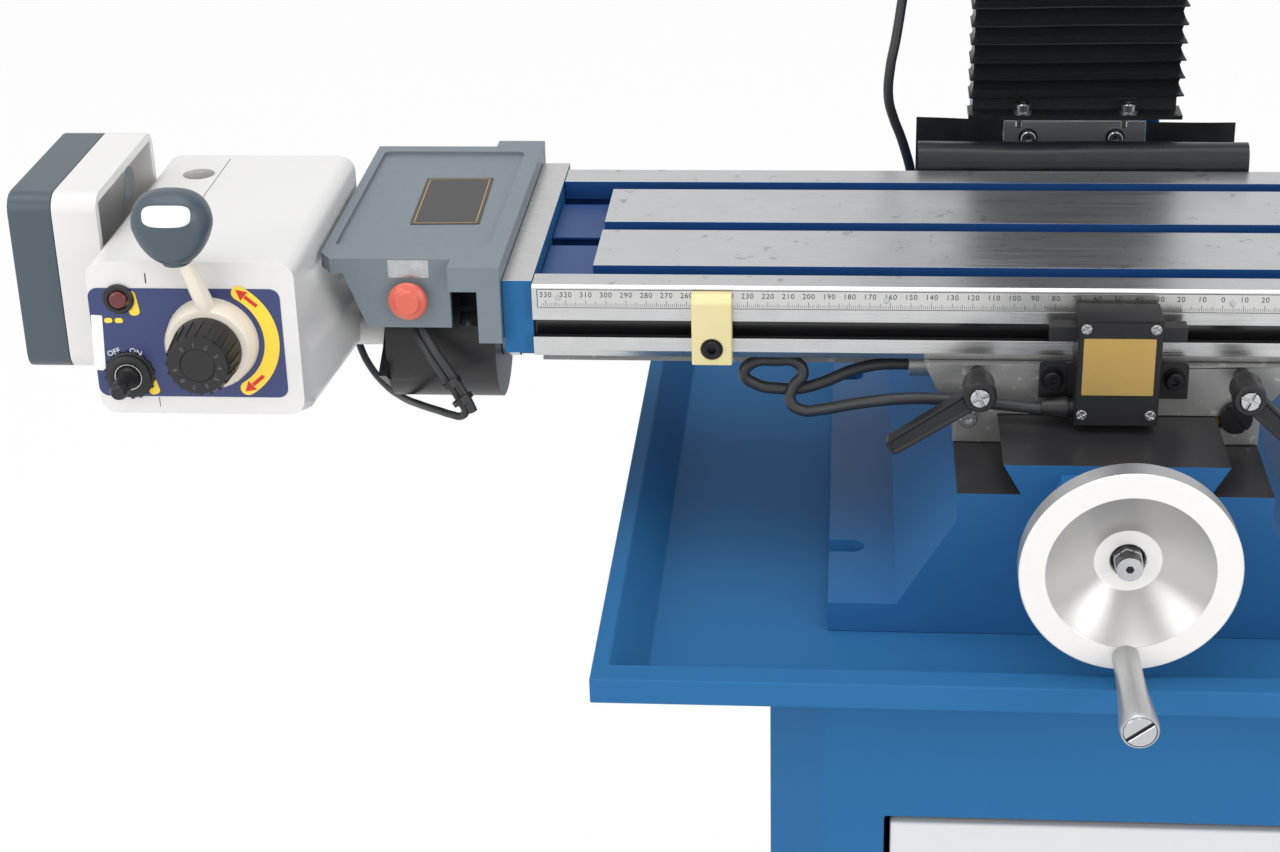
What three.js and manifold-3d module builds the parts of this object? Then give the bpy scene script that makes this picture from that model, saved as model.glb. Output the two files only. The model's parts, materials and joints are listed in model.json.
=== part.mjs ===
// Vertical milling machine: a bench mill on a sheet-metal cabinet with a chip tray,
// a cross table with three T-slots, and a motor feed bolted to the table's left end.
// Millimetres, +Z up. The origin is on the floor under the centre of the cabinet,
// -Y is the operator's side and X runs along the table.
import * as THREE from "three";
import { mergeVertices } from "three/addons/utils/BufferGeometryUtils.js";
import Module from "manifold-3d";

const wasm = await Module();
wasm.setup();

// ---------------------------------------------------------------- driving dimensions
const gap = 0.3; // between pieces that touch
const run = 0.5; // radial clearance round a turning or sliding shaft

// Cabinet and its door
const cabinetWidth = 328;
const cabinetDepth = 450;
const cabinetHeight = 780;
const cabinetCorner = 27; // 45 degree corner posts
const cabinetSheet = 4;
const doorWidth = 208;
const doorBottom = 60;
const doorBelowTop = 82; // the door ends this far under the cabinet's top
const doorGap = 3;
const doorThick = 17;
const doorSheet = 3;
const hingeBarrelRadius = 4;
const hingeShort = 49; // the hinge ends this far inside the door at both ends
const doorPullHeight = 400;

// Chip tray
const trayFloor = 3;
const trayFoldX = 221.4; // half width of the flat floor
const trayWallRun = 16;
const trayWallRise = 21;
const trayRimSide = 8;
const trayRimFront = 14;
const trayLip = 13;
const traySheet = 2;

// Base casting
const baseBeforeTable = 60; // how far the base reaches in front of the table
const baseHeight = 92.5; // tray floor to the top of the dovetail
const wayHalf = 53.4; // half width of the dovetail's top
const wayRise = 15.5;
const ledgeHalf = 74.7;
const ledgeDrop = 14.7;
const baseFlankHalf = 102.7;
const footHalf = 136;
const footThick = 16;
const footSlotWidth = 13;
const footSlotDepth = 18;
const footSlotsY = [-125, 91];
const baseWall = 14;
const padBeforeColumn = 35; // the raised seat that carries the column starts here
const nutSlotFrom = -124;
const nutSlotTo = 62;

// Cross slide
const saddleProud = 2.5; // in front of the table
const saddleShort = 2; // shorter than the table is wide
const saddleFloor = 11;
const saddleHalf = 90;
const skirtHalf = 75;
const gibThick = 6;
const screwRadius = 8;
const ySlideNutY = -18;

// Table
const tableLength = 674;
const tableOffset = 52.8; // the table stands this far to the right of the machine's centre
const tableFront = -125;
const tableWidth = 174;
const tableThick = 38.9;
const tableWayRise = 15.6;
const tableWayHalf = 54;
const slotWidth = 12;
const slotPitch = 63;
const slotNeck = 11;
const slotHeadWidth = 20;
const slotHeadHeight = 8;
const troughLength = 28;
const troughDepth = 9;
const stripFront = 14.8; // width of the ground strip along the front edge
const scaleHeight = 9.2;
const scaleThick = 0.8;
const scaleLength = 668;
const frontSlotWidth = 9;
const frontSlotTop = 18.6; // below the table's top
const frontSlotDepth = 7;
const endPlateThick = 15;
const endPlateGap = 0.4;
const endPlateBack = 10.8; // how far the end plates stand behind the table
const endPlateFront = 6;
const xScrewForward = 27; // in front of the table's centre line
const xScrewDrop = 9.7; // axis below the table's underside

// Motor feed
const drumRadius = 35.3;
const drumLength = 57;
const hoodFlangeThick = 26;
const hoodLength = 67;
const hoodSetBack = 14.5; // behind the table's front
const hoodPastTable = 13; // behind the table's back
const hoodAboveTable = 9;
const hoodWall = 5;
const apronDrop = 37;
const feedWidth = 103;
const feedDepth = 160;
const feedBeforeTable = 32;
const feedAboveTable = 23.4;
const feedHeight = 80.6;
const feedToHood = 2.3;
const feedFlareFront = 4.5; // how far the housing's lower right side leans out, at its front
const feedFlareBack = 20;
const feedFlareBelowTable = 21.6; // where the flare begins
const clampThick = 3; // clamp plate on the drum's closed end
const sideCoverWidth = 23;
const sideCoverDepth = 107;
const sideCoverSetBack = 29;
const sideCoverAboveFeed = 23;
const sideCoverHeight = 94;
const endCapWidth = 22;
const bossRadius = 23;
const bossLength = 11;
const bossFromRight = 43; // the lever boss from the housing's right side
const bossBelowTop = 41;

// Handwheels
const wheelRadius = 50;
const wheelRim = 12;
const wheelFlat = 36.5; // inner radius of the flat ring
const wheelHubFace = 15;
const wheelDish = 13;
const wheelHubRadius = 18;
const gripOffset = 42.3;
const gripLength = 65;
const gripRoot = 6.2;
const gripEnd = 8.7;
const yWheelBeforeBase = 75;
const yScrewDrop = 17.1; // axis below the dovetail's top
const dialRadius = 21;

// Column and its screw
const columnHalf = 53;
const columnBehindTable = 104; // the room for the cross travel and the bellows
const columnDepth = 92;
const columnAboveWays = 784.5;
const columnWall = 12;
const boxAboveTable = 158.4; // the control box's underside
const controlBoxWidth = 100;
const columnWayHalf = 50;
const columnWayRise = 16;
const columnFootHalf = 74;
const columnFootThick = 22;
const zScrewBeforeColumn = 3;
const zScrewRadius = 10;
const capHeight = 66;
const zWheelRadius = 55;
const zWheelX = 118;

// Covers
const bellowsWidth = 121;
const bellowsBeforeColumn = 42;
const bellowsDepth = 19;
const bellowsAboveTable = 9.4;
const bracketWidth = 80;
const coverWidth = 180;

// Head
const carriageAboveTable = 298.4;
const carriageHeight = 200;
const carriageHalf = 82;
const carriageBeforeColumn = 61;
const spindleBeforeColumn = 203;
const headHalf = 95;
const headBeforeSpindle = 80;
const headAboveCarriage = 90; // the head's underside over the carriage's
const headHeight = 170;
const noseRadius = 56;
const noseLength = 62;
const tiltRadius = 74;
const headWall = 12;
const quillRadius = 35;
const quillOut = 14;
const quillLength = 170;
const spindleRadius = 20;
const spindleOut = 30;
const socketRadius = 10;
const socketDepth = 90;
const motorRadius = 62;
const motorHeight = 190;
const feedAxisBehindSpindle = 50;
const feedAxisUp = 42; // over the head's underside

// ---------------------------------------------------------------- heights worked out
const trayTop = cabinetHeight + trayFloor;
const wayTop = trayTop + baseHeight;
const wayLedge = wayTop - wayRise;
const saddleBottom = wayTop + gap;
const saddleTopFloor = saddleBottom + saddleFloor;
const tableBottom = saddleTopFloor + gap + tableWayRise;
const tableTop = tableBottom + tableThick;
const tableCentreY = tableFront + tableWidth / 2;
const tableLeft = tableOffset - tableLength / 2;
const tableRight = tableOffset + tableLength / 2;
const saddleTop = tableBottom - gap;
const slant = Math.tan(Math.PI / 6); // a 60 degree dovetail
const xScrewZ = tableBottom - xScrewDrop;
const yScrewZ = wayTop - yScrewDrop;
const tableBack = tableFront + tableWidth;
const saddleFront = tableFront - saddleProud;
const saddleLength = tableWidth - saddleShort;
const xScrewY = tableCentreY - xScrewForward;
const baseFront = tableFront - baseBeforeTable;
const columnFront = tableBack + columnBehindTable;
const columnBack = columnFront + columnDepth;
const columnHeight = wayTop + columnAboveWays;
const baseLength = columnBack - 5 - baseFront;
const trayFoldY = baseFront + baseLength + 0.5;
const padFront = columnFront - padBeforeColumn;
const yWheelFace = baseFront - yWheelBeforeBase;
const nutSlotHalf = screwRadius + 5;
const plateLeft = tableLeft - endPlateGap - endPlateThick; // outer face of the left end plate
const hoodRight = plateLeft - gap;
const hoodLeft = hoodRight - hoodFlangeThick - hoodLength;
const feedRight = hoodLeft - feedToHood;
const feedLeft = feedRight - feedWidth;
const feedTop = tableTop + feedAboveTable;
const feedBottom = feedTop - feedHeight;
const feedFront = tableFront - feedBeforeTable;
const sideCoverFront = feedFront + sideCoverSetBack;
const sideCoverTop = feedTop + sideCoverAboveFeed;
const hoodFront = tableFront + hoodSetBack;
const hoodDepth = tableBack + hoodPastTable - hoodFront;
const hoodTop = tableTop + hoodAboveTable;
const zScrewY = columnFront - zScrewBeforeColumn;
const bellowsFront = columnFront - bellowsBeforeColumn;
const bellowsBack = bellowsFront + bellowsDepth;
const bellowsBottom = tableTop + bellowsAboveTable;
const carriageBottom = tableTop + carriageAboveTable;
const carriageFront = columnFront - carriageBeforeColumn;
const spindleY = columnFront - spindleBeforeColumn;
const headBottom = carriageBottom + headAboveCarriage;
const headFront = spindleY - headBeforeSpindle;
const feedAxisY = spindleY + feedAxisBehindSpindle;
const feedAxisZ = headBottom + feedAxisUp;
const headTop = headBottom + headHeight;

// ---------------------------------------------------------------- materials
const paint = (color, roughness = 0.35, metalness = 0) =>
  new THREE.MeshStandardMaterial({ color, roughness, metalness });
const blue = paint(0x2f659e, 0.3);
const doorGrey = paint(0xcdd2d6, 0.4);
const groundSteel = paint(0xb9babb, 0.3, 1);
const darkSteel = paint(0x55575a, 0.45, 1);
const aluminium = paint(0xd5d5d3, 0.25, 1);
const hoodGrey = paint(0x6b767e, 0.55);
const capGrey = paint(0x4a555f, 0.5);
const ivory = paint(0xe6e6e4, 0.35);
const cream = paint(0xe8e1d2, 0.4);
const black = paint(0x1c1d1f, 0.5);
const rubber = paint(0x151516, 0.7);
const yellow = paint(0xe6d684, 0.4);
const coral = paint(0xe9735f, 0.4);
const red = paint(0xc1272d, 0.4);
const bronze = paint(0xb08a4a, 0.4, 1);

// ---------------------------------------------------------------- shape helpers
const root = new THREE.Group();
const X = "x";
const Y = "y";
const Z = "z";

// A closed geometry as a manifold solid, turned outwards if its profile ran backwards.
function solid(geometry) {
  const bare = geometry.clone();
  bare.deleteAttribute("normal");
  bare.deleteAttribute("uv");
  const merged = mergeVertices(bare, 1e-4);
  const triVerts = new Uint32Array(merged.index.array);
  const vertProperties = new Float32Array(merged.attributes.position.array);
  const build = () => new wasm.Manifold(new wasm.Mesh({ numProp: 3, vertProperties, triVerts }));
  const first = build();
  if (first.volume() > 0) return first;
  for (let i = 0; i < triVerts.length; i += 3) {
    [triVerts[i + 1], triVerts[i + 2]] = [triVerts[i + 2], triVerts[i + 1]];
  }
  return build();
}

const join = (first, ...rest) => rest.reduce((sum, s) => sum.add(s), first);
const cut = (first, ...rest) => rest.reduce((left, s) => left.subtract(s), first);

function box(x0, x1, y0, y1, z0, z1) {
  const g = new THREE.BoxGeometry(x1 - x0, y1 - y0, z1 - z0);
  return solid(g.translate((x0 + x1) / 2, (y0 + y1) / 2, (z0 + z1) / 2));
}

// An outline pushed from one place on an axis to another. Its points are (Y, Z) for
// the X axis, (X, Z) for the Y axis and (X, Y) for the Z axis.
function prism(axis, from, to, points) {
  const shape = new THREE.Shape(points.map(([u, v]) => new THREE.Vector2(u, v)));
  const g = new THREE.ExtrudeGeometry(shape, { depth: to - from, bevelEnabled: false });
  const m = new THREE.Matrix4();
  if (axis === X) m.set(0, 0, 1, from, 1, 0, 0, 0, 0, 1, 0, 0, 0, 0, 0, 1);
  if (axis === Y) m.set(1, 0, 0, 0, 0, 0, -1, to, 0, 1, 0, 0, 0, 0, 0, 1);
  if (axis === Z) m.makeTranslation(0, 0, from);
  return solid(g.applyMatrix4(m));
}

// A profile of [radius, place along the axis] points turned round an axis through `at`.
function turned(axis, at, profile, sides = 32) {
  const points = profile.map(([r, h]) => new THREE.Vector2(Math.max(r, 0), h));
  if (profile[0][0] !== 0) points.push(points[0].clone());
  const g = new THREE.LatheGeometry(points, sides);
  if (axis === X) g.rotateZ(-Math.PI / 2);
  if (axis === Z) g.rotateX(Math.PI / 2);
  return solid(g.translate(at[0], at[1], at[2]));
}

function rod(axis, at, radius, from, to, sides = 24) {
  return turned(axis, at, [[0, from], [radius, from], [radius, to], [0, to]], sides);
}

function tube(axis, at, outer, inner, from, to, sides = 32) {
  return turned(axis, at, [[inner, from], [outer, from], [outer, to], [inner, to]], sides);
}

// A round bar from one point to another, with its own radius at each end.
function bar(a, b, radiusA, radiusB, sides = 16) {
  const from = new THREE.Vector3(...a);
  const along = new THREE.Vector3(...b).sub(from);
  const g = new THREE.CylinderGeometry(radiusB, radiusA, along.length(), sides);
  g.translate(0, along.length() / 2, 0);
  const up = new THREE.Vector3(0, 1, 0);
  g.applyQuaternion(new THREE.Quaternion().setFromUnitVectors(up, along.normalize()));
  return solid(g.translate(from.x, from.y, from.z));
}

// A rectangle in two axes with its corners rounded or cut.
function roundedOutline(u0, u1, v0, v1, radius, steps = 4) {
  const points = [];
  const corners = [[u1 - radius, v1 - radius, 0], [u0 + radius, v1 - radius, 1],
    [u0 + radius, v0 + radius, 2], [u1 - radius, v0 + radius, 3]];
  for (const [cu, cv, quarter] of corners) {
    for (let i = 0; i <= steps; i++) {
      const a = ((quarter + i / steps) * Math.PI) / 2;
      points.push([cu + radius * Math.cos(a), cv + radius * Math.sin(a)]);
    }
  }
  return points;
}

// Rectangular rings [half x, half y, z], skinned one to the next and closed at both ends.
function rectangularLoft(rings) {
  const positions = [];
  for (const [hx, hy, z] of rings) {
    positions.push(-hx, -hy, z, hx, -hy, z, hx, hy, z, -hx, hy, z);
  }
  const index = [];
  for (let r = 0; r + 1 < rings.length; r++) {
    for (let c = 0; c < 4; c++) {
      const a = 4 * r + c;
      const b = 4 * r + ((c + 1) % 4);
      index.push(a, b, a + 4, b, b + 4, a + 4);
    }
  }
  const last = 4 * (rings.length - 1);
  index.push(0, 2, 1, 0, 3, 2, last, last + 1, last + 2, last, last + 2, last + 3);
  const g = new THREE.BufferGeometry();
  g.setAttribute("position", new THREE.Float32BufferAttribute(positions, 3));
  g.setIndex(index);
  return solid(g);
}

// A round lead along a smooth curve through points.
function lead(points, radius, steps, sides = 8) {
  const section = new THREE.Shape();
  for (let i = 0; i < sides; i++) {
    const a = (2 * Math.PI * i) / sides;
    const [u, v] = [radius * Math.cos(a), radius * Math.sin(a)];
    if (i === 0) section.moveTo(u, v);
    else section.lineTo(u, v);
  }
  const curve = new THREE.CatmullRomCurve3(points.map((p) => new THREE.Vector3(...p)));
  return solid(new THREE.ExtrudeGeometry(section, { steps, extrudePath: curve, bevelEnabled: false }));
}

function add(name, shape, material) {
  const mesh = shape.getMesh();
  const g = new THREE.BufferGeometry();
  g.setAttribute("position", new THREE.Float32BufferAttribute(mesh.vertProperties, 3));
  g.setIndex(Array.from(mesh.triVerts));
  g.computeVertexNormals();
  const node = new THREE.Mesh(g, material);
  node.name = name;
  root.add(node);
}

// ---------------------------------------------------------------- cabinet and door
const halfWidth = cabinetWidth / 2;
const halfDepth = cabinetDepth / 2;
const doorTop = cabinetHeight - doorBelowTop;
const doorHeight = doorTop - doorBottom;

function cabinetOutline(inset) {
  const w = halfWidth - inset;
  const d = halfDepth - inset;
  const c = cabinetCorner - inset * (2 - Math.SQRT2);
  return [[w, -d + c], [w, d], [-w, d], [-w, -d + c], [-w + c, -d], [w - c, -d]];
}

add("cabinet", cut(
  prism(Z, 0, cabinetHeight - gap, cabinetOutline(0)),
  prism(Z, cabinetSheet, cabinetHeight - gap - cabinetSheet, cabinetOutline(cabinetSheet)),
  box(-doorWidth / 2 - doorGap, doorWidth / 2 + doorGap, -halfDepth - 1, -halfDepth + 2 * cabinetSheet,
    doorBottom - doorGap, doorTop + doorGap),
), blue);

const doorHalf = doorWidth / 2;
add("cabinet_door", cut(
  box(-doorHalf, doorHalf, -halfDepth, -halfDepth + doorThick, doorBottom, doorTop),
  box(-doorHalf + doorSheet, doorHalf - doorSheet, -halfDepth + doorSheet, -halfDepth + doorThick + 1,
    doorBottom + doorSheet, doorTop - doorSheet),
), doorGrey);

const hingeX = doorHalf + doorGap / 2;
const hingeY = -halfDepth - hingeBarrelRadius - gap;
const hingeBottom = doorBottom + hingeShort;
const hingeLength = doorHeight - 2 * hingeShort;
add("door_hinge", join(
  rod(Z, [hingeX, hingeY, 0], hingeBarrelRadius, hingeBottom, hingeBottom + hingeLength, 16),
  box(hingeX, hingeX + 22, -halfDepth - gap - 1.6, -halfDepth - gap, hingeBottom, hingeBottom + hingeLength),
), darkSteel);

const pullX = -doorHalf + 26;
const pullReach = 30;
add("door_pull", join(
  rod(Y, [pullX, 0, doorPullHeight - 50], 5, -halfDepth - pullReach, -halfDepth - gap, 12),
  rod(Y, [pullX, 0, doorPullHeight + 50], 5, -halfDepth - pullReach, -halfDepth - gap, 12),
  rod(Z, [pullX, -halfDepth - pullReach, 0], 6, doorPullHeight - 60, doorPullHeight + 60, 12),
), black);

// ---------------------------------------------------------------- chip tray
const wallTop = trayTop + trayWallRise;
const wallX = trayFoldX + trayWallRun;
const wallY = trayFoldY + trayWallRun;
const rimX = wallX + trayRimSide;
const rimY = wallY + trayRimFront;
add("chip_tray", rectangularLoft([
  [trayFoldX, trayFoldY, trayTop],
  [wallX, wallY, wallTop],
  [rimX, rimY, wallTop],
  [rimX, rimY, wallTop - trayLip],
  [rimX - traySheet, rimY - traySheet, wallTop - trayLip],
  [rimX - traySheet, rimY - traySheet, wallTop - traySheet],
  [wallX + traySheet / 2, wallY + traySheet / 2, wallTop - traySheet],
  [trayFoldX + traySheet / 2, trayFoldY + traySheet / 2, cabinetHeight],
]), blue);

// ---------------------------------------------------------------- base casting
const undercut = wayRise * slant;
const baseBottom = trayTop + gap;
const baseBack = baseFront + baseLength;
const footTop = trayTop + footThick;
const rightSide = [[footHalf, baseBottom], [footHalf, footTop], [baseFlankHalf, footTop],
  [ledgeHalf, wayLedge - ledgeDrop], [ledgeHalf, wayLedge]];
const rightWay = [[wayHalf - undercut, wayLedge], [wayHalf, wayTop]];
const mirrored = (points) => points.map(([u, v]) => [-u, v]).reverse();
const baseProfile = [...rightSide, ...rightWay, ...mirrored(rightWay), ...mirrored(rightSide)];
const tunnelHalf = 22;
const cavityHalf = ledgeHalf - baseWall;

function footSlot(side, y) {
  const inner = footHalf - footSlotDepth + footSlotWidth / 2;
  return join(
    rod(Z, [side * inner, y, 0], footSlotWidth / 2, baseBottom - 1, footTop + 1, 20),
    box(side > 0 ? inner : -footHalf - 1, side > 0 ? footHalf + 1 : -inner,
      y - footSlotWidth / 2, y + footSlotWidth / 2, baseBottom - 1, footTop + 1),
  );
}

// The rear lead's gland stands on the left flank.
const rearGland = { x: -92, y: 168, top: footTop + 33, radius: 6 };
let base = join(
  prism(Y, baseFront, baseBack, baseProfile),
  box(-ledgeHalf, ledgeHalf, padFront, baseBack, wayLedge - 1, wayTop),
  rod(Z, [rearGland.x, rearGland.y, 0], rearGland.radius, footTop + 8, rearGland.top, 20),
);
base = cut(base,
  box(-cavityHalf, cavityHalf, baseFront + baseWall, baseBack - baseWall, baseBottom - 1, wayLedge - baseWall),
  box(-tunnelHalf, tunnelHalf, baseFront + baseWall, nutSlotTo + baseWall, wayLedge - baseWall - 1,
    yScrewZ + screwRadius + run),
  box(-nutSlotHalf, nutSlotHalf, nutSlotFrom, nutSlotTo, wayTop - 10, wayTop + 1),
  rod(Y, [0, 0, yScrewZ], screwRadius + run, baseFront - 1, baseFront + baseWall + 1),
);
for (const y of footSlotsY) base = cut(base, footSlot(-1, y), footSlot(1, y));
add("base_casting", base, blue);

const bracketLength = 20;
const bracketFront = baseFront - gap - bracketLength;
const bracketBoss = 12;
add("y_bearing_bracket", cut(
  join(
    prism(Y, bracketFront, baseFront - gap, [[26, yScrewZ + 12.6], [-26, yScrewZ + 12.6],
      [-33, yScrewZ - 8], [-33, yScrewZ - 26], [33, yScrewZ - 26], [33, yScrewZ - 8]]),
    rod(Y, [0, 0, yScrewZ], 17, bracketFront - bracketBoss, bracketFront + 1),
  ),
  rod(Y, [0, 0, yScrewZ], screwRadius + run, bracketFront - bracketBoss - 1, baseFront + 1),
), aluminium);

// ---------------------------------------------------------------- Y screw, dial and wheel
const yWheelBack = yWheelFace + wheelRim;
const yHubFace = yWheelFace + wheelDish;
const yHubBack = yHubFace + 17;
const yShaftRadius = 6;
const yScrewEnd = nutSlotTo + 4;
add("y_screw", join(
  rod(Y, [0, 0, yScrewZ], screwRadius, baseFront + 20, yScrewEnd, 20),
  rod(Y, [0, 0, yScrewZ], screwRadius - gap, bracketFront - bracketBoss + 1, baseFront + 21, 20),
  rod(Y, [0, 0, yScrewZ], yShaftRadius, yHubFace - 9, bracketFront, 20),
), darkSteel);

// The wheel's profile for a face towards -axis: flat ring, dished cone, recessed hub.
function wheelProfile(face, radius, hubBack, bore) {
  const hubFace = face + wheelDish;
  return [[bore, hubFace + 6], [8, hubFace + 6], [8, hubFace], [wheelHubFace, hubFace],
    [wheelFlat, face + 1.5], [wheelFlat + 1.5, face], [radius - 1, face], [radius, face + 1],
    [radius, face + wheelRim - 1], [radius - 1, face + wheelRim], [wheelFlat + 4, face + wheelRim],
    [wheelHubRadius + 4, hubFace + 10], [wheelHubRadius, hubFace + 11], [wheelHubRadius, hubBack], [bore, hubBack]];
}

const gripHole = (axis, at, from, to) => rod(axis, at, 4, from, to, 16);
add("y_handwheel", cut(
  turned(Y, [0, 0, yScrewZ], wheelProfile(yWheelFace, wheelRadius, yHubBack, yShaftRadius + gap), 40),
  gripHole(Y, [0, 0, yScrewZ - gripOffset], yWheelFace - 1, yWheelBack + 1),
), aluminium);

add("y_handle", turned(Y, [0, 0, yScrewZ - gripOffset], [[0, yWheelBack - 1], [3.5, yWheelBack - 1],
  [3.5, yWheelFace - gap], [gripRoot - 1, yWheelFace - gap], [gripRoot, yWheelFace - 1.5],
  [gripRoot + 0.4, yWheelFace - gripLength * 0.5], [gripEnd - 0.4, yWheelFace - gripLength + 12],
  [gripEnd, yWheelFace - gripLength + 6], [gripEnd, yWheelFace - gripLength + 1.5],
  [gripEnd - 1.2, yWheelFace - gripLength], [0, yWheelFace - gripLength]], 24), aluminium);

const dialFront = yHubBack + gap;
add("y_dial", tube(Y, [0, 0, yScrewZ], dialRadius, yShaftRadius + gap, dialFront,
  bracketFront - bracketBoss - gap, 40), groundSteel);

// ---------------------------------------------------------------- saddle
const saddleBack = saddleFront + saddleLength;
const skirtBottom = wayLedge + gap;
const wayClear = 0.4;
const skirtTopInner = wayHalf + wayClear;
const skirtLowInner = skirtTopInner - (saddleBottom - skirtBottom) * slant;
const saddleProfile = [
  [saddleHalf, saddleTop], [-saddleHalf, saddleTop], [-saddleHalf + 7, saddleTop - 15],
  [-skirtHalf, saddleBottom + 3], [-skirtHalf, skirtBottom], [-skirtLowInner, skirtBottom],
  [-skirtTopInner, saddleBottom], [skirtTopInner + gibThick, saddleBottom],
  [skirtLowInner + gibThick, skirtBottom], [skirtHalf, skirtBottom], [skirtHalf, saddleBottom + 3],
  [saddleHalf - 7, saddleTop - 15]];
const channel = tableWayHalf + wayClear; // half width of the table's guide at its floor
const flankIn = (z) => (z - saddleTopFloor) * slant; // how far a flank leans in at a height
const tableGib = 5;
const nutHalf = screwRadius + 4;
const xNutHalf = screwRadius + 3.5;
const xNutTop = xScrewZ + screwRadius + 2.5;
const xNutBottom = xScrewZ - screwRadius - 1.2;
const stud = { x: 64, z: tableBottom - 4.2, radius: 3, depth: 18 };
const limitCentre = 2.3;

let saddle = join(
  prism(Y, saddleFront, saddleBack, saddleProfile),
  rod(X, [0, saddleFront + 20, tableBottom - 9], 6, -saddleHalf - 7, -saddleHalf + 5, 16),
);
saddle = cut(saddle,
  prism(X, -saddleHalf - 20, saddleHalf + 20, [
    [tableCentreY - channel - tableGib, saddleTopFloor], [tableCentreY + channel, saddleTopFloor],
    [tableCentreY + channel - flankIn(saddleTop + 1), saddleTop + 1],
    [tableCentreY - channel - tableGib + flankIn(saddleTop + 1), saddleTop + 1]]),
  box(-saddleHalf - 20, saddleHalf + 20, xScrewY - xNutHalf - run, xScrewY + xNutHalf + run,
    xNutBottom - gap, saddleTopFloor + 1),
);
for (const side of [-1, 1]) {
  saddle = cut(saddle, rod(Y, [side * stud.x, 0, stud.z], stud.radius + run,
    saddleFront - 1, saddleFront + stud.depth + 1, 20));
}
add("saddle", saddle, darkSteel);

const gibEnd = 3;
add("saddle_gib", prism(Y, saddleFront + gibEnd, saddleBack - gibEnd, [
  [skirtTopInner, saddleBottom - gap], [skirtTopInner + gibThick - gap, saddleBottom - gap],
  [skirtLowInner + gibThick - gap, skirtBottom + gap], [skirtLowInner + gap, skirtBottom + gap]]), bronze);

const gibInner = (z) => tableCentreY - channel + flankIn(z);
const gibLow = saddleTopFloor + gap;
const gibHigh = saddleTop - gap;
add("table_gib", prism(X, -saddleHalf + gibEnd, saddleHalf - gibEnd, [
  [gibInner(gibLow) - tableGib + gap, gibLow], [gibInner(gibLow), gibLow],
  [gibInner(gibHigh), gibHigh], [gibInner(gibHigh) - tableGib + gap, gibHigh]]), bronze);

add("y_nut", cut(
  box(-nutHalf, nutHalf, ySlideNutY - 14, ySlideNutY + 14, yScrewZ - 13, saddleBottom - gap),
  rod(Y, [0, 0, yScrewZ], screwRadius + run, ySlideNutY - 15, ySlideNutY + 15),
), bronze);

add("x_nut", cut(
  box(-20, 20, xScrewY - xNutHalf, xScrewY + xNutHalf, xNutBottom, xNutTop),
  rod(X, [0, xScrewY, xScrewZ], screwRadius + run, -21, 21),
), bronze);

// ---------------------------------------------------------------- locks and limit switch
function lockLever(side) {
  const at = [side * stud.x, 0, stud.z];
  const hubBack = saddleFront - 13;
  const hubFront = saddleFront - 32;
  const reach = 50;
  const slope = side < 0 ? (214 * Math.PI) / 180 : (316 * Math.PI) / 180;
  const along = [Math.cos(slope), Math.sin(slope)];
  const across = [-along[1], along[0]];
  const point = (l, w) => [at[0] + along[0] * l + across[0] * w, at[2] + along[1] * l + across[1] * w];
  return join(
    rod(Y, at, stud.radius, hubFront + 2, saddleFront + stud.depth, 16),
    rod(Y, at, 6.8, hubFront, hubBack, 24),
    prism(Y, hubFront + 2, hubFront + 10, [point(0, 6), point(0, -6), point(reach, -4.5), point(reach, 5)]),
  );
}
add("table_lock_left", lockLever(-1), black);
add("table_lock_right", lockLever(1), black);

const limitBox = { half: 20, front: saddleFront - 21.5, top: tableBottom + 32.8, bottom: tableBottom - 22.7 };
const plunger = { z: tableBottom + 21, y: saddleFront - 7, size: 4.2, reach: 13, depth: 12 };
const limitCavity = plunger.size + gap;
let limitSwitch = join(
  box(limitCentre - limitBox.half, limitCentre + limitBox.half, limitBox.front, saddleFront - gap,
    limitBox.bottom, limitBox.top),
  box(limitCentre - 36, limitCentre + 36, saddleFront - 4, saddleFront - gap, tableBottom - 16, tableBottom + 1),
  rod(X, [0, saddleFront - 11.5, tableBottom - 17.8], 4.6, limitCentre - limitBox.half - 4, limitCentre, 16),
);
limitSwitch = cut(limitSwitch,
  box(limitCentre - limitBox.half - 1, limitCentre + limitBox.half + 1,
    plunger.y - limitCavity, plunger.y + limitCavity, plunger.z - limitCavity, plunger.z + limitCavity),
);
add("limit_switch_box", limitSwitch, black);
for (const [name, side] of [["limit_plunger_left", -1], ["limit_plunger_right", 1]]) {
  const face = limitCentre + side * limitBox.half;
  const ends = [face + side * plunger.reach, face - side * plunger.depth].sort((a, b) => a - b);
  add(name, box(ends[0], ends[1], plunger.y - plunger.size, plunger.y + plunger.size,
    plunger.z - plunger.size, plunger.z + plunger.size), black);
}

// ---------------------------------------------------------------- table
const slotCentres = [-1, 0, 1].map((i) => tableCentreY - 2 + i * slotPitch);
const troughFloor = tableTop - troughDepth;
const scaleBottom = tableTop - 2.4 - scaleHeight;
const frontLipZ = tableTop - frontSlotTop;
const tableBevel = 3;

let table = join(
  prism(X, tableLeft, tableRight, [
    [tableFront + tableBevel, tableBottom], [tableFront, tableBottom + tableBevel + 1],
    [tableFront, tableTop - 1.5], [tableFront + 1.5, tableTop], [tableFront + tableWidth, tableTop],
    [tableFront + tableWidth, tableBottom]]),
  prism(X, tableLeft, tableRight, [
    [tableCentreY - tableWayHalf, tableBottom - tableWayRise],
    [tableCentreY + tableWayHalf, tableBottom - tableWayRise],
    [tableCentreY + tableWayHalf - (tableWayRise + 1) * slant, tableBottom + 1],
    [tableCentreY - tableWayHalf + (tableWayRise + 1) * slant, tableBottom + 1]]),
);
for (const y of slotCentres) {
  table = cut(table,
    box(tableLeft - 1, tableRight + 1, y - slotWidth / 2, y + slotWidth / 2, tableTop - slotNeck, tableTop + 1),
    box(tableLeft - 1, tableRight + 1, y - slotHeadWidth / 2, y + slotHeadWidth / 2,
      tableTop - slotNeck - slotHeadHeight, tableTop - slotNeck + 0.5));
}
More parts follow.
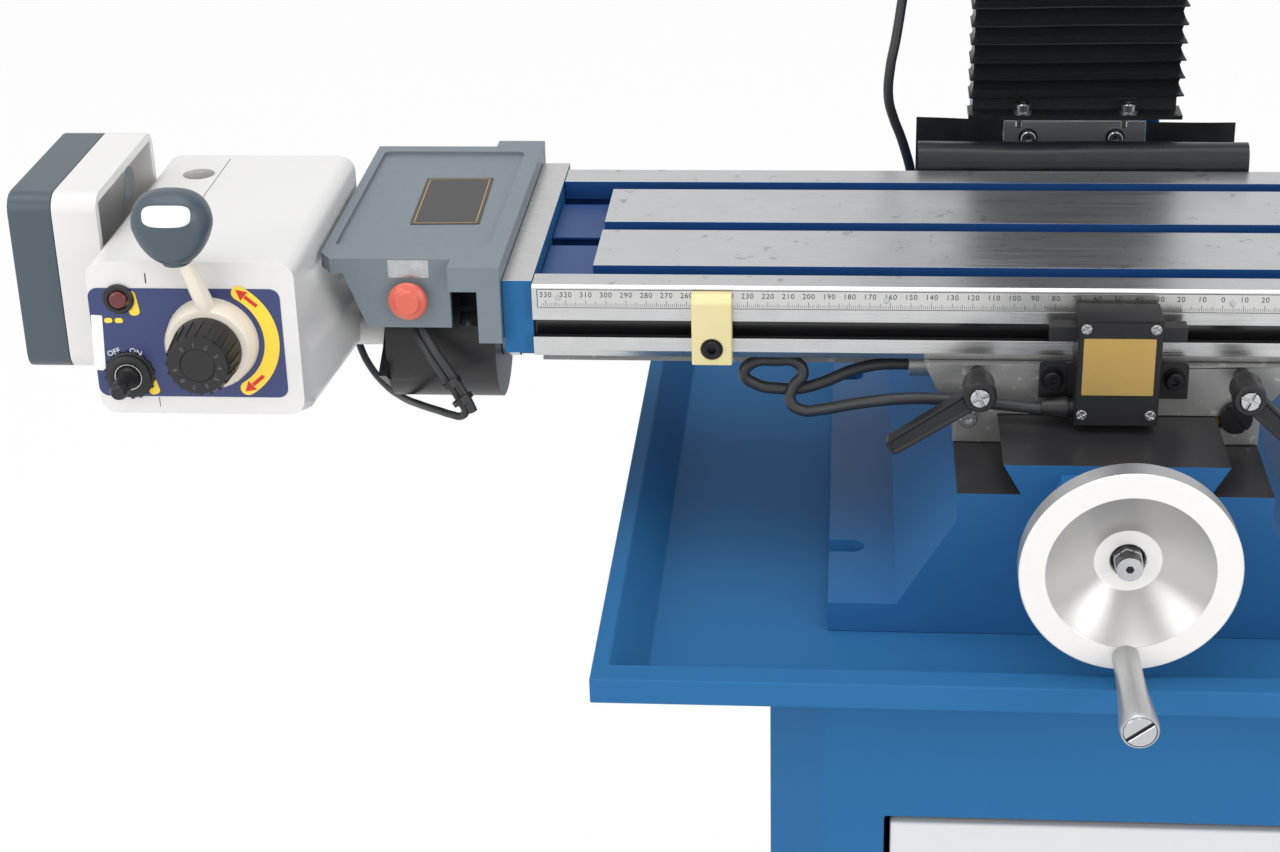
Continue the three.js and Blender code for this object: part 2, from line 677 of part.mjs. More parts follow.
for (const [from, to] of [[tableLeft - 1, tableLeft + troughLength], [tableRight - troughLength, tableRight + 1]]) {
  table = cut(table, box(from, to, slotCentres[0] - slotWidth / 2 + 1, slotCentres[2] + slotWidth / 2 - 1,
    troughFloor, tableTop + 1));
}
const frontNeck = [frontLipZ - frontSlotWidth, frontLipZ];
table = cut(table,
  box(tableLeft - 1, tableRight + 1, tableFront - 1, tableFront + frontSlotDepth, frontNeck[0], frontNeck[1]),
  box(tableLeft - 1, tableRight + 1, tableFront + 4, tableFront + frontSlotDepth + 2, frontNeck[0] - 2.5,
    frontNeck[1] + 2.5),
  box(tableOffset - scaleLength / 2 - gap, tableOffset + scaleLength / 2 + gap, tableFront - 1,
    tableFront + scaleThick, scaleBottom - gap, scaleBottom + scaleHeight + gap),
  box(tableLeft - 1, tableRight + 1, xScrewY - xNutHalf - run, xScrewY + xNutHalf + run,
    tableBottom - tableWayRise - 1, xNutTop + 2 * gap),
);
add("table", table, groundSteel);

add("table_scale", box(tableOffset - scaleLength / 2, tableOffset + scaleLength / 2, tableFront - 0.2,
  tableFront + scaleThick - gap, scaleBottom, scaleBottom + scaleHeight), aluminium);

const plateFront = tableFront + endPlateFront;
const plateBack = tableFront + tableWidth + endPlateBack;
const lobeRadius = 13;
function endPlate(inner, outer) {
  const shaft = [0, xScrewY, xScrewZ];
  const [from, to] = [Math.min(inner, outer), Math.max(inner, outer)];
  return cut(
    join(
      box(from, to, plateFront, plateBack, tableBottom, tableTop),
      rod(X, shaft, lobeRadius, from, to, 28),
      box(from, to, xScrewY - lobeRadius, xScrewY + lobeRadius, xScrewZ, tableBottom + 1),
    ),
    rod(X, shaft, screwRadius + run, from - 1, to + 1, 24),
  );
}
const leftPlateInner = tableLeft - endPlateGap;
const rightPlateInner = tableRight + endPlateGap;
const rightPlateOuter = rightPlateInner + endPlateThick + 6;
const drumSetBack = 8; // the drum's open end stands this far from the plate
add("left_end_plate", join(
  endPlate(leftPlateInner, leftPlateInner - endPlateThick),
  cut(
    rod(X, [0, xScrewY, xScrewZ], screwRadius + 6, plateLeft - drumSetBack + gap, plateLeft + 1, 28),
    rod(X, [0, xScrewY, xScrewZ], screwRadius + run, plateLeft - drumSetBack - 1, plateLeft + 2, 24),
  ),
), blue);
add("right_end_plate", endPlate(rightPlateInner, rightPlateOuter), blue);

// Travel stops clamped in the table's front slot.
const stopWidth = 20;
const stopProud = 8;
const stopPlaces = { table_stop_left: tableLeft + 89.6, table_stop_right: tableRight - 98.8 };
for (const [name, centre] of Object.entries(stopPlaces)) {
  const [from, to] = [centre - stopWidth / 2, centre + stopWidth / 2];
  add(name, cut(
    join(
      prism(X, from, to, [[tableFront - gap, tableTop - 2], [tableFront - stopProud + 3, tableTop - 2],
        [tableFront - stopProud, tableTop - 6], [tableFront - stopProud, tableBottom],
        [tableFront - gap, tableBottom]]),
      box(from + 2, to - 2, tableFront - 1, tableFront + 5, frontNeck[0] + gap, frontNeck[1] - gap),
      box(from + 2, to - 2, tableFront + 4 + gap, tableFront + frontSlotDepth + 2 - gap, frontNeck[0] - 2,
        frontNeck[1] + 2),
    ),
    rod(Y, [centre, 0, frontLipZ - frontSlotWidth / 2 - 7], 5, tableFront - stopProud - 1, tableFront - 5, 20),
  ), yellow);
}

// ---------------------------------------------------------------- X screw, wheel and grip
const drumRight = plateLeft - drumSetBack;
const drumLeft = drumRight - drumLength;
const xWheelHub = rightPlateOuter + 20;
const xWheelFace = xWheelHub + 17 + wheelDish;
const xAt = [0, xScrewY, xScrewZ];
add("x_screw", join(
  rod(X, xAt, screwRadius, drumLeft + 20, rightPlateInner + 1, 20),
  rod(X, xAt, screwRadius - gap, rightPlateInner - 1, rightPlateOuter + 1, 20),
  rod(X, xAt, 15, rightPlateOuter + gap, xWheelHub - gap, 28),
  rod(X, xAt, yShaftRadius, rightPlateOuter, xWheelFace - wheelDish + 9, 20),
), darkSteel);

const mirrorX = (profile, about) => profile.map(([r, h]) => [r, 2 * about - h]);
add("x_handwheel", cut(
  turned(X, xAt, mirrorX(wheelProfile(xWheelFace, wheelRadius, xWheelFace + wheelDish + 17, yShaftRadius + gap),
    xWheelFace), 40),
  gripHole(X, [0, xScrewY, xScrewZ - gripOffset], xWheelFace - wheelRim - 1, xWheelFace + 1),
), aluminium);

add("x_handle", turned(X, [0, xScrewY, xScrewZ - gripOffset], [[0, xWheelFace - wheelRim + 1],
  [3.5, xWheelFace - wheelRim + 1], [3.5, xWheelFace + gap], [gripRoot, xWheelFace + gap],
  [gripRoot + 0.4, xWheelFace + gripLength * 0.5], [gripEnd, xWheelFace + gripLength - 8],
  [gripEnd - 1, xWheelFace + gripLength], [0, xWheelFace + gripLength]], 20), aluminium);

// ---------------------------------------------------------------- motor feed
const hoodFlangeLeft = hoodRight - hoodFlangeThick;
const flangeFront = tableFront;
const hoodBack = hoodFront + hoodDepth;
const flangeBack = hoodBack + 10;
const apronBottom = hoodTop - apronDrop;
const notchFrom = hoodFlangeLeft + 0.7;
const notchTo = notchFrom + 13.5;
const borderWidth = 9;
const borderLeft = 5;
const borderFront = 16;
const recessDepth = 2;

const rapid = { x: hoodLeft + 45.3, z: hoodTop - 20.7 };

let hood = join(
  prism(Z, hoodTop - 8, hoodTop, [[hoodFlangeLeft + 1, hoodBack], [hoodLeft, hoodBack],
    [hoodLeft, hoodFront + 6], [hoodLeft + 6, hoodFront - 3], [hoodFlangeLeft + 1, hoodFront - 3]]),
  prism(Y, hoodFront - 3, hoodFront - 3 + hoodWall, [[hoodFlangeLeft + 1, hoodTop - 7],
    [hoodLeft + 11.8, hoodTop - 7], [hoodLeft + 23, apronBottom], [hoodFlangeLeft + 1, apronBottom]]),
  box(hoodLeft, hoodFlangeLeft + 1, hoodBack - hoodWall, hoodBack, apronBottom, hoodTop - 1),
  box(hoodFlangeLeft, hoodRight, flangeFront, flangeBack, hoodTop - 13, hoodTop),
  box(hoodFlangeLeft, hoodRight, flangeFront, flangeFront + hoodWall, apronBottom - 3.5, hoodTop - 1),
  box(hoodRight - 12, hoodRight, flangeFront, flangeBack, apronBottom - 3.5, hoodTop - 1),
);
hood = cut(hood,
  prism(Z, hoodTop - recessDepth, hoodTop + 1, roundedOutline(hoodLeft + borderLeft, hoodRight - borderWidth,
    hoodFront + borderFront, hoodBack - borderWidth, 3.5)),
  box(hoodFlangeLeft - 1, notchTo, flangeFront - 1, flangeFront + 40, apronBottom - 10, hoodTop - 13),
  box(hoodRight - 12.5, hoodRight + 1, xScrewY - 44, xScrewY + 44, apronBottom - 10, hoodTop - 14),
  rod(Y, [rapid.x, 0, rapid.z], 5.5, hoodFront - 4, hoodFront + hoodWall, 20),
);
add("feed_hood", hood, hoodGrey);

const drumBore = screwRadius + 4;
const clampLeft = drumLeft - clampThick;
add("feed_drum", cut(
  join(
    rod(X, xAt, drumRadius, drumLeft, drumRight, 48),
    prism(X, clampLeft, drumLeft + 1, [[xScrewY - 44, xScrewZ - 8.5], [xScrewY, xScrewZ - 37], [xScrewY + 25, xScrewZ - 6],
      [xScrewY - 8, xScrewZ + 18], [xScrewY - 27, xScrewZ]]),
  ),
  rod(X, xAt, drumBore, clampLeft - 1, drumRight + 1, 24),
  box(drumLeft + 10, drumRight - 8, xScrewY - 9, xScrewY + 9, xScrewZ + 14, xScrewZ + drumRadius + 1),
), black);

const bossX = feedRight - bossFromRight;
const bossZ = feedTop - bossBelowTop;
const housingWall = 6;
const neck = 9;
const feedBack = feedFront + feedDepth;
const flareTop = tableTop - feedFlareBelowTable;

// A slice of the housing's outline, one of those that its flared side is skinned over.
const flareSlice = (y, right, top, corner) =>
  prism(Y, y, y + 1, roundedOutline(feedRight - 30, right, feedBottom, top, corner));
const breaker = { x: feedLeft + 15.5, z: feedTop - 19, radius: 4.6 };
const toggle = { x: feedLeft + 16.5, z: feedTop - 59.5, ring: 10.6, ball: 6 };
let gearbox = join(
  prism(Y, feedFront, feedFront + feedDepth, roundedOutline(feedLeft, feedRight, feedBottom, feedTop, 8)),
  wasm.Manifold.hull([
    flareSlice(feedFront + 1, feedRight - 1, flareTop + 18, 8),
    flareSlice(feedFront + 6, feedRight + feedFlareFront, flareTop + 2, 8),
    flareSlice(feedBack - 1, feedRight + feedFlareBack, flareTop, 8),
    flareSlice(feedBack - 1, feedRight, flareTop + 20, 4),
  ]),
  rod(X, xAt, neck, feedRight - 3, clampLeft - gap, 32),
  rod(Y, [toggle.x, 0, toggle.z], toggle.ring, feedFront - 4, feedFront + 1, 28),
);
gearbox = cut(gearbox,
  box(feedLeft + housingWall, feedRight - housingWall, feedFront + housingWall, feedBack - housingWall,
    feedBottom + housingWall, feedTop - housingWall),
  rod(Z, [feedLeft + 25, sideCoverFront + 100, 0], 8.5, feedTop - housingWall - 1, feedTop + 1, 24),
  rod(Y, [bossX, 0, bossZ], 10, feedFront - 1, feedFront + housingWall + 1, 24),
  rod(Y, [breaker.x, 0, breaker.z], breaker.radius + run, feedFront - 1, feedFront + housingWall + 1, 20),
  rod(Y, [toggle.x, 0, toggle.z], toggle.ball + run, feedFront - 5, feedFront + housingWall + 1, 20),
);
add("feed_gearbox", gearbox, ivory);

const coverBack = sideCoverFront + sideCoverDepth;
const coverBottom = sideCoverTop - sideCoverHeight;
const coverOutline = roundedOutline(sideCoverFront, coverBack, coverBottom, sideCoverTop, 9);
add("feed_side_cover", cut(
  prism(X, feedLeft - gap - sideCoverWidth, feedLeft - gap, coverOutline),
  box(feedLeft - sideCoverWidth + 4, feedLeft + 1, sideCoverFront + 5, coverBack - 5, coverBottom + 5,
    sideCoverTop - 5),
), ivory);
const capRight = feedLeft - 2 * gap - sideCoverWidth;
add("feed_end_cap", cut(
  prism(X, capRight - endCapWidth, capRight, coverOutline),
  box(capRight - endCapWidth + 4, capRight + 1, sideCoverFront + 5, coverBack - 5, coverBottom + 5,
    sideCoverTop - 5),
), capGrey);

const motorAt = [feedLeft + 45, 0, feedBottom + 36];
add("feed_motor", join(
  rod(Y, motorAt, 26, feedBack - housingWall - 92, feedBack - housingWall - gap, 28),
  rod(Y, motorAt, 5, feedFront + 50, feedBack - housingWall - 91, 16),
), darkSteel);

// Direction lever: a boss that turns on the front, its rod and the knob on the rod.
const bossFront = feedFront - gap - bossLength;
const rodFoot = [bossX + 1, bossFront + 5, bossZ + 18];
const rodTip = [bossX - 5, bossFront - 5, bossZ + 48];
add("feed_lever", cut(
  join(
    turned(Y, [bossX, 0, bossZ], [[0, bossFront], [bossRadius - 3, bossFront], [bossRadius - 1, bossFront + 3],
      [bossRadius, feedFront - gap], [9.5, feedFront - gap], [9.5, feedFront + 16], [0, feedFront + 16]], 40),
    bar(rodFoot, rodTip, 4.8, 4, 16),
  ),
  rod(Y, [bossX, 0, bossZ], 5, bossFront - 1, feedFront + 17, 20),
), cream);

const tipY = rodTip[1];
const tipZ = rodTip[2];
add("feed_lever_knob", cut(
  turned(Z, [rodTip[0] - 4, tipY, 0], [[0, tipZ - 1], [7, tipZ - 1], [14, tipZ + 7], [18.5, tipZ + 15],
    [19.3, tipZ + 23], [18, tipZ + 31], [13, tipZ + 35], [0, tipZ + 36]], 28),
  box(rodTip[0] - 40, rodTip[0] + 40, tipY - 40, tipY - 13, tipZ - 5, tipZ + 45),
  box(rodTip[0] - 40, rodTip[0] + 40, tipY + 13, tipY + 40, tipZ - 5, tipZ + 45),
  bar(rodFoot, [rodTip[0] - 0.2, rodTip[1] - 0.3, rodTip[2] + 1], 5.7, 4.7, 16),
), capGrey);

const knobBack = bossFront - gap;
const knobLength = 20;
add("speed_knob", turned(Y, [bossX, 0, bossZ], [[0, knobBack - knobLength], [15, knobBack - knobLength],
  [16, knobBack - knobLength + 1.5], [17.5, knobBack - 2], [17, knobBack], [4, knobBack],
  [4, feedFront + 12], [0, feedFront + 12]], 32), black);

// The toggle's ball sits in its ring, and the lever stands out of the ball.
const ball = [];
for (let i = 0; i <= 8; i++) {
  const a = Math.PI / 2 - (i / 8) * 2.5;
  ball.push([toggle.ball * Math.cos(a), feedFront - 2 + toggle.ball * Math.sin(a)]);
}
add("power_toggle", turned(Y, [toggle.x, 0, toggle.z], [...ball, [3.6, feedFront - 12], [4.6, feedFront - 15],
  [4.6, feedFront - 21], [3.2, feedFront - 24], [0, feedFront - 24]], 24), black);

add("breaker_button", turned(Y, [breaker.x, 0, breaker.z], [[0, feedFront - 3.5], [breaker.radius - 0.8, feedFront - 3.5],
  [breaker.radius, feedFront - 2.5], [breaker.radius, feedFront + 14], [0, feedFront + 14]], 20), coral);

const rapidFace = hoodFront - 3;
add("rapid_button", turned(Y, [rapid.x, 0, rapid.z], [[0, rapidFace - 9], [6, rapidFace - 9], [7, rapidFace - 7.5],
  [9.2, rapidFace - 7], [10, rapidFace - 5.5], [10, rapidFace - 4], [5, rapidFace - 4], [5, rapidFace + 9],
  [0, rapidFace + 9]], 28), coral);

// The rapid switch's lead: out of the hood, down to a tie, and back under the drum into the gearbox.
const rapidLead = [[-348, -98, 915], [-346, -109, 909], [-339.4, -117, 901], [-330.8, -121, 889],
  [-323, -123.5, 877], [-321, -124, 871.5], [-323.6, -122.8, 868.8], [-328.5, -120, 868.2], [-336.1, -112, 866.5],
  [-350.1, -92, 860.8], [-364.4, -66, 853.2], [-377.4, -46, 851.5], [-387.9, -32, 856], [-393.4, -25, 862.5],
  [-396.4, -21, 871], [-397, -20, 884.1]];
add("rapid_switch_lead", lead(rapidLead, 2.6, 34), rubber);

// ---------------------------------------------------------------- column and Z drive
const columnBottom = wayTop + gap;
const columnTop = columnHeight;
const columnWayFront = columnFront - columnWayRise;
const columnUndercut = columnWayRise * slant;
const zAt = [0, zScrewY, 0];
const grooveHalf = 14;
let column = join(
  box(-columnHalf, columnHalf, columnFront, columnBack, columnBottom, columnTop),
  box(-columnFootHalf, columnFootHalf, padFront + 8, columnBack - 6, columnBottom, columnBottom + columnFootThick),
  prism(Z, columnBottom, columnTop, [[-columnWayHalf, columnWayFront], [columnWayHalf, columnWayFront],
    [columnWayHalf - columnUndercut, columnFront + 1], [-columnWayHalf + columnUndercut, columnFront + 1]]),
);
column = cut(column,
  box(-columnHalf + columnWall, columnHalf - columnWall, columnFront + 2 * columnWall, columnBack - columnWall,
    columnBottom + columnFootThick, columnTop + 1),
  box(-grooveHalf, grooveHalf, columnWayFront - 1, zScrewY + zScrewRadius + 4, carriageBottom - 330, columnTop + 1),
  rod(Z, zAt, 7, carriageBottom - 345, carriageBottom - 329, 20),
);
add("column", column, blue);

const capBottom = columnTop + gap;
const capTop = capBottom + capHeight;
const capFront = columnWayFront - 14;
const bevelZ = capBottom + 26;
const crankZ = bevelZ + 14;
add("column_cap", cut(
  box(-columnHalf - 6, columnHalf + 6, capFront, columnBack + 3, capBottom, capTop),
  box(-columnHalf + 4, columnHalf - 4, capFront + 8, columnBack - 8, capBottom + 12, capTop - 6),
  rod(X, [0, zScrewY, crankZ], 7 + run, columnHalf - 6, columnHalf + 8, 24),
  rod(Z, zAt, 7 + run, capBottom - 1, capBottom + 13, 24),
), blue);

add("z_screw", join(
  rod(Z, zAt, zScrewRadius, carriageBottom - 326, columnTop - 6, 20),
  rod(Z, zAt, 6.5, carriageBottom - 343, carriageBottom - 325, 16),
  rod(Z, zAt, 6.7, columnTop - 7, capBottom + 14, 16),
  turned(Z, zAt, [[0, capBottom + 13], [14, capBottom + 13], [14, bevelZ - 6], [8.5, bevelZ], [0, bevelZ]], 24),
), darkSteel);

const zWheelInner = zWheelX - 10;
const crankAt = [0, zScrewY, crankZ];
add("z_handwheel", join(
  turned(X, crankAt, [[0, 14], [8.2, 14], [14, 20], [14, 26], [6.7, 26], [6.7, zWheelInner],
    [14, zWheelInner], [14, zWheelInner + 16], [zWheelRadius - 8, zWheelInner + 12], [zWheelRadius - 6, zWheelInner + 8],
    [zWheelRadius, zWheelInner + 10], [zWheelRadius, zWheelInner + 20], [zWheelRadius - 8, zWheelInner + 20],
    [14, zWheelInner + 22], [0, zWheelInner + 22]], 28),
  bar([zWheelInner + 19, zScrewY, crankZ + zWheelRadius - 10], [zWheelInner + 80, zScrewY, crankZ + zWheelRadius - 10],
    6, 9, 16),
), aluminium);

// ---------------------------------------------------------------- way covers
add("bellows_bracket", join(
  box(-bracketWidth / 2, bracketWidth / 2, bellowsFront - 1, bellowsFront + 3, bellowsBottom - 13, bellowsBottom - gap),
  box(-bracketWidth / 2, bracketWidth / 2, bellowsFront - 1, columnWayFront - gap, bellowsBottom - 13,
    bellowsBottom - 10),
), aluminium);

add("column_bellows", box(-bellowsWidth / 2, bellowsWidth / 2, bellowsFront, bellowsBack, bellowsBottom,
  carriageBottom - gap), rubber);

const coverHalf = coverWidth / 2;
add("way_cover", prism(X, -coverHalf, coverHalf, [
  [saddleBack + 5, saddleTop - 6], [saddleBack + 7.5, saddleTop - 6], [saddleBack + 9, tableTop + 2],
  [saddleBack + 14, tableTop + 10], [saddleBack + 20, tableTop + 10], [saddleBack + 26, tableTop],
  [bellowsFront - 6, wayTop + 12], [bellowsFront - 3.5, wayTop + 12], [bellowsFront - 1.5, bellowsBottom - 14],
  [bellowsFront - 1.3, bellowsBottom - 2], [bellowsFront - 3, bellowsBottom - 2], [bellowsFront - 7, wayTop + 15],
  [saddleBack + 27.5, tableTop + 1.5], [saddleBack + 21, tableTop + 12], [saddleBack + 13, tableTop + 12],
  [saddleBack + 7.2, tableTop + 3]]), rubber);

// ---------------------------------------------------------------- control box and leads
const boxLeft = -columnHalf - controlBoxWidth;
const gland = [boxLeft + 56, columnFront + 19, 0];
const boxBottom = tableTop + boxAboveTable;
add("control_box", cut(
  join(
    box(boxLeft, -columnHalf - gap, columnFront + 6, columnBack - 4, boxBottom, boxBottom + 240),
    rod(Z, gland, 7, boxBottom - 14, boxBottom + 2, 16),
  ),
  box(boxLeft + 5, -columnHalf - 5, columnFront + 11, columnBack - 9, boxBottom + 5, boxBottom + 235),
  rod(Z, gland, 3.4, boxBottom - 15, boxBottom + 6, 16),
), ivory);

const rearLead = [[-97, 172, boxBottom - 14.4], [-97, 172, 1066], [-96.5, 170, 1040], [-97, 163, 1018],
  [-99, 157, 1004], [-101.8, 151, 986.5], [-104.8, 148, 970], [-105.4, 148, 952], [-101.8, 150, 938], [-98.3, 151, 929],
  [-94.5, 153, 917], [-91.5, 156, 905], [-89.8, 160, 890], [-89.5, 164, 874], [-91, 167, 856], [-92, 168, 843],
  [-92, 168, 832.3]];
add("rear_lead", lead(rearLead, 2.9, 36), rubber);

// The limit switch's lead: left from the box, up behind the table's edge, down in a
// second lobe and back into the saddle's side.
const limitLead = [[-22.2, -139, 884.2], [-34, -138.5, 884], [-48, -136.5, 884.6], [-64, -135, 885.4], [-82, -133, 886],
  [-98, -131.5, 885.4], [-111.5, -130, 883.4], [-126.3, -125.5, 879], [-141, -121.5, 874.2], [-150, -119.5, 872.8],
  [-156, -117.6, 876.3], [-154.6, -115.6, 884.4], [-150, -114, 890.5], [-153, -113, 896], [-164, -113.4, 897.4],
  [-175, -114, 896.4], [-179.6, -114.4, 890.6], [-173.6, -113.8, 884.4], [-161.6, -113, 881.8],
  [-151, -112, 881.7], [-138, -110.5, 885.2], [-126, -109, 890.2], [-114, -107.8, 893], [-105, -107.5, 893.6],
  [-97.4, -107.5, 893.7]];
add("limit_switch_lead", lead(limitLead, 3, 46), rubber);

// ---------------------------------------------------------------- head
const carriageTop = carriageBottom + carriageHeight;
const carriageBack = columnFront - gap;
const wayFit = 0.4;
const carriageBlock = box(-carriageHalf, carriageHalf, carriageFront, carriageBack, carriageBottom, carriageTop);
const pocket = prism(Z, carriageBottom - 1, carriageTop + 1, [
  [-columnWayHalf - wayFit, columnWayFront - gap], [columnWayHalf + wayFit, columnWayFront - gap],
  [columnWayHalf - columnUndercut + wayFit, carriageBack + 1],
  [-columnWayHalf + columnUndercut - wayFit, carriageBack + 1]]);
const nutLug = grooveHalf - 0.6;
add("head_carriage", join(
  cut(carriageBlock, pocket),
  cut(box(-nutLug, nutLug, columnWayFront - 4, zScrewY + 13, carriageBottom + 60, carriageBottom + 100),
    rod(Z, zAt, zScrewRadius + run, carriageBottom + 50, carriageBottom + 110)),
), blue);

const tiltZ = carriageBottom + 120;
const headBack = carriageFront - gap;
const quillAt = [0, spindleY, 0];
const boreTop = headBottom + 100;
const noseBottom = headBottom - noseLength;
const stopButton = { x: -52, z: headTop - 45, stem: 9 };
let head = join(
  prism(Z, headBottom, headTop, roundedOutline(-headHalf, headHalf, headFront, headBack - 12, 14)),
  rod(Y, [0, 0, tiltZ], tiltRadius, headBack - 20, headBack, 40),
  rod(Z, quillAt, noseRadius, noseBottom, headBottom + 5, 40),
);
head = cut(head,
  box(-headHalf + headWall, headHalf - headWall, headFront + headWall, headBack - 12 - headWall, boreTop, headTop + 1),
  rod(Z, quillAt, quillRadius + run, noseBottom - 1, boreTop + 1, 40),
  rod(X, [0, feedAxisY, feedAxisZ], 9 + run, -30, headHalf + 1, 24),
  rod(Y, [stopButton.x, 0, stopButton.z], stopButton.stem + run, headFront - 1, headFront + 9, 24),
);
add("head_casting", head, blue);

const plateThick = 10;
add("spindle_motor", join(
  prism(Z, headTop + gap, headTop + gap + plateThick,
    roundedOutline(-headHalf, headHalf, headFront, headBack - 12, 14)),
  turned(Z, [0, spindleY + 24, 0], [[0, headTop + 5], [motorRadius, headTop + 5], [motorRadius, headTop + motorHeight - 10],
    [motorRadius - 8, headTop + motorHeight], [0, headTop + motorHeight]], 40),
), capGrey);

const stem = stopButton.stem;
add("emergency_stop", turned(Y, [stopButton.x, 0, stopButton.z], [[0, headFront - 26], [14, headFront - 26],
  [18, headFront - 22], [18, headFront - 17], [stem, headFront - 14], [stem, headFront + 3], [0, headFront + 3]],
  28), red);

// ---------------------------------------------------------------- quill, spindle, feed arms
const quillBottom = noseBottom - quillOut;
const quillTop = quillBottom + quillLength;
const bearingRadius = spindleRadius + run;
add("quill", cut(
  rod(Z, quillAt, quillRadius, quillBottom, quillTop, 40),
  rod(Z, quillAt, bearingRadius, quillBottom - 1, quillTop + 1, 32),
  box(-8, 8, spindleY + quillRadius - 4, spindleY + quillRadius + 2, quillBottom + 40, quillTop + 1),
), groundSteel);

const spindleBottom = quillBottom - spindleOut;
add("spindle", cut(
  turned(Z, quillAt, [[0, spindleBottom], [24, spindleBottom], [24, quillBottom - gap], [spindleRadius, quillBottom - gap],
    [spindleRadius, quillTop + 20], [12, quillTop + 22], [12, headTop - 70], [0, headTop - 70]], 32),
  rod(Z, quillAt, socketRadius, spindleBottom - 1, spindleBottom + socketDepth, 24),
), groundSteel);

const armHubFrom = headHalf + gap;
const armHubTo = armHubFrom + 30;
const armX = armHubFrom + 18;
const armReach = 108;
const armSplay = 38;
let arms = join(
  rod(X, [0, feedAxisY, feedAxisZ], 9, -22, armHubFrom + 1, 20),
  rod(X, [0, feedAxisY, feedAxisZ], 24, armHubFrom, armHubTo, 28),
);
for (let i = 0; i < 3; i++) {
  const a = Math.PI / 2 + (i * 2 * Math.PI) / 3;
  const place = (r, x) => [x, feedAxisY + r * Math.cos(a), feedAxisZ + r * Math.sin(a)];
  arms = join(arms,
    bar(place(16, armX), place(armReach, armX + armSplay), 5, 5, 12),
    bar(place(armReach - 16, armX + armSplay - 6), place(armReach + 14, armX + armSplay + 6), 13, 9, 16));
}
add("quill_feed_handle", arms, darkSteel);

export default root;
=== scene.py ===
# %% [markdown]
# # A bench milling machine, seen over its table
# The CAD model already has every piece at its real size. This lesson gives the
# pieces their looks: rounded edges, enamel, ground and turned metal, rubber, and
# the small parts that a drawing leaves out, such as screws, figures and springs.
# Everything is in metres, with X along the table, -Y towards the operator, Z up.

# %% Load the frame
import json
import math

import bmesh
import bpy
from mathutils import Matrix, Vector, noise


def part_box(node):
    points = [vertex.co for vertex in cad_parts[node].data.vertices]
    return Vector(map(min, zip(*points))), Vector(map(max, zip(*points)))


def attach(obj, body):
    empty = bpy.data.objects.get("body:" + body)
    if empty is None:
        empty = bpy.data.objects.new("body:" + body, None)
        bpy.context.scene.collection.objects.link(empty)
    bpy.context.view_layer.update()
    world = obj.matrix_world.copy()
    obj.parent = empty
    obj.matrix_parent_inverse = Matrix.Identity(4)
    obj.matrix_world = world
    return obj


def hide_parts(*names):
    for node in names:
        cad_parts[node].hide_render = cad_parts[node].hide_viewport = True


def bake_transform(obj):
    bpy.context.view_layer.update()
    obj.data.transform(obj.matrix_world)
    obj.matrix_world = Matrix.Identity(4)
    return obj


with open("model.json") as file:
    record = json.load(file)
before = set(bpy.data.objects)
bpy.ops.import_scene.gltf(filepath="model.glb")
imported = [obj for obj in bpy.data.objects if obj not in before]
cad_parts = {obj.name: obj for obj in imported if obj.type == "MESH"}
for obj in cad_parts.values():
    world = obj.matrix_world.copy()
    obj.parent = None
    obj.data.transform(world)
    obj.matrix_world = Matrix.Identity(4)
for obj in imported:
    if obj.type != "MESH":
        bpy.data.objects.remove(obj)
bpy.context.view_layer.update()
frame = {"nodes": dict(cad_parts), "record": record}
MM = 0.001

# %% [markdown]
# The camera looks slightly down at the left half of the table, with a longish
# lens, so verticals stay nearly upright. It is placed by its own three axes:
# yaw turns it about Z, pitch tips it down, and roll leans it a little.

# %% Camera
LENS_MM = 68.2
CAMERA_AT = Vector((-0.1291, -1.2309, 1.3853))
yaw, pitch, roll = (math.radians(a) for a in (-5.313, 25.081, -1.557))
forward = Vector((math.sin(yaw) * math.cos(pitch), math.cos(yaw) * math.cos(pitch), -math.sin(pitch)))
right = Vector((math.cos(yaw), -math.sin(yaw), 0))
up = right.cross(forward)
leaned_right = math.cos(roll) * right + math.sin(roll) * up
leaned_up = math.cos(roll) * up - math.sin(roll) * right
turn = Matrix((leaned_right, leaned_up, -forward)).transposed().to_4x4()
camera_data = bpy.data.cameras.new("camera")
camera_data.sensor_width = 36
camera_data.lens = LENS_MM
camera = bpy.data.objects.new("camera", camera_data)
camera.matrix_world = Matrix.Translation(CAMERA_AT) @ turn
bpy.context.scene.collection.objects.link(camera)
bpy.context.scene.camera = camera

# %% [markdown]
# Three small helpers are used all the way through. One puts a finished bmesh
# into the scene as a piece that rides on a body. One carries a CAD node over as
# a copy with clean faces and rounded edges. One makes a cord from its route.

# %% Piece helpers
def piece(name, bm, body, materials, smooth=35, soften=0.0, segments=2):
    """Makes the bmesh an object, shades it, and hands it to the body it rides on."""
    bmesh.ops.remove_doubles(bm, verts=bm.verts, dist=1e-6)
    mesh = bpy.data.meshes.new(name)
    bm.to_mesh(mesh)
    bm.free()
    for material in materials:
        mesh.materials.append(material)
    mesh.shade_smooth()
    made = bpy.data.objects.new(name, mesh)
    bpy.context.scene.collection.objects.link(made)
    if soften:
        bevel = made.modifiers.new("soft edges", "BEVEL")
        bevel.width = soften * MM
        bevel.segments = segments
        bevel.limit_method = "ANGLE"
        bevel.angle_limit = math.radians(smooth)
        bevel.harden_normals = False
        weighted = made.modifiers.new("even shading", "WEIGHTED_NORMAL")
        weighted.keep_sharp = False
    else:
        mesh.set_sharp_from_angle(angle=math.radians(smooth))
    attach(made, body)
    return made


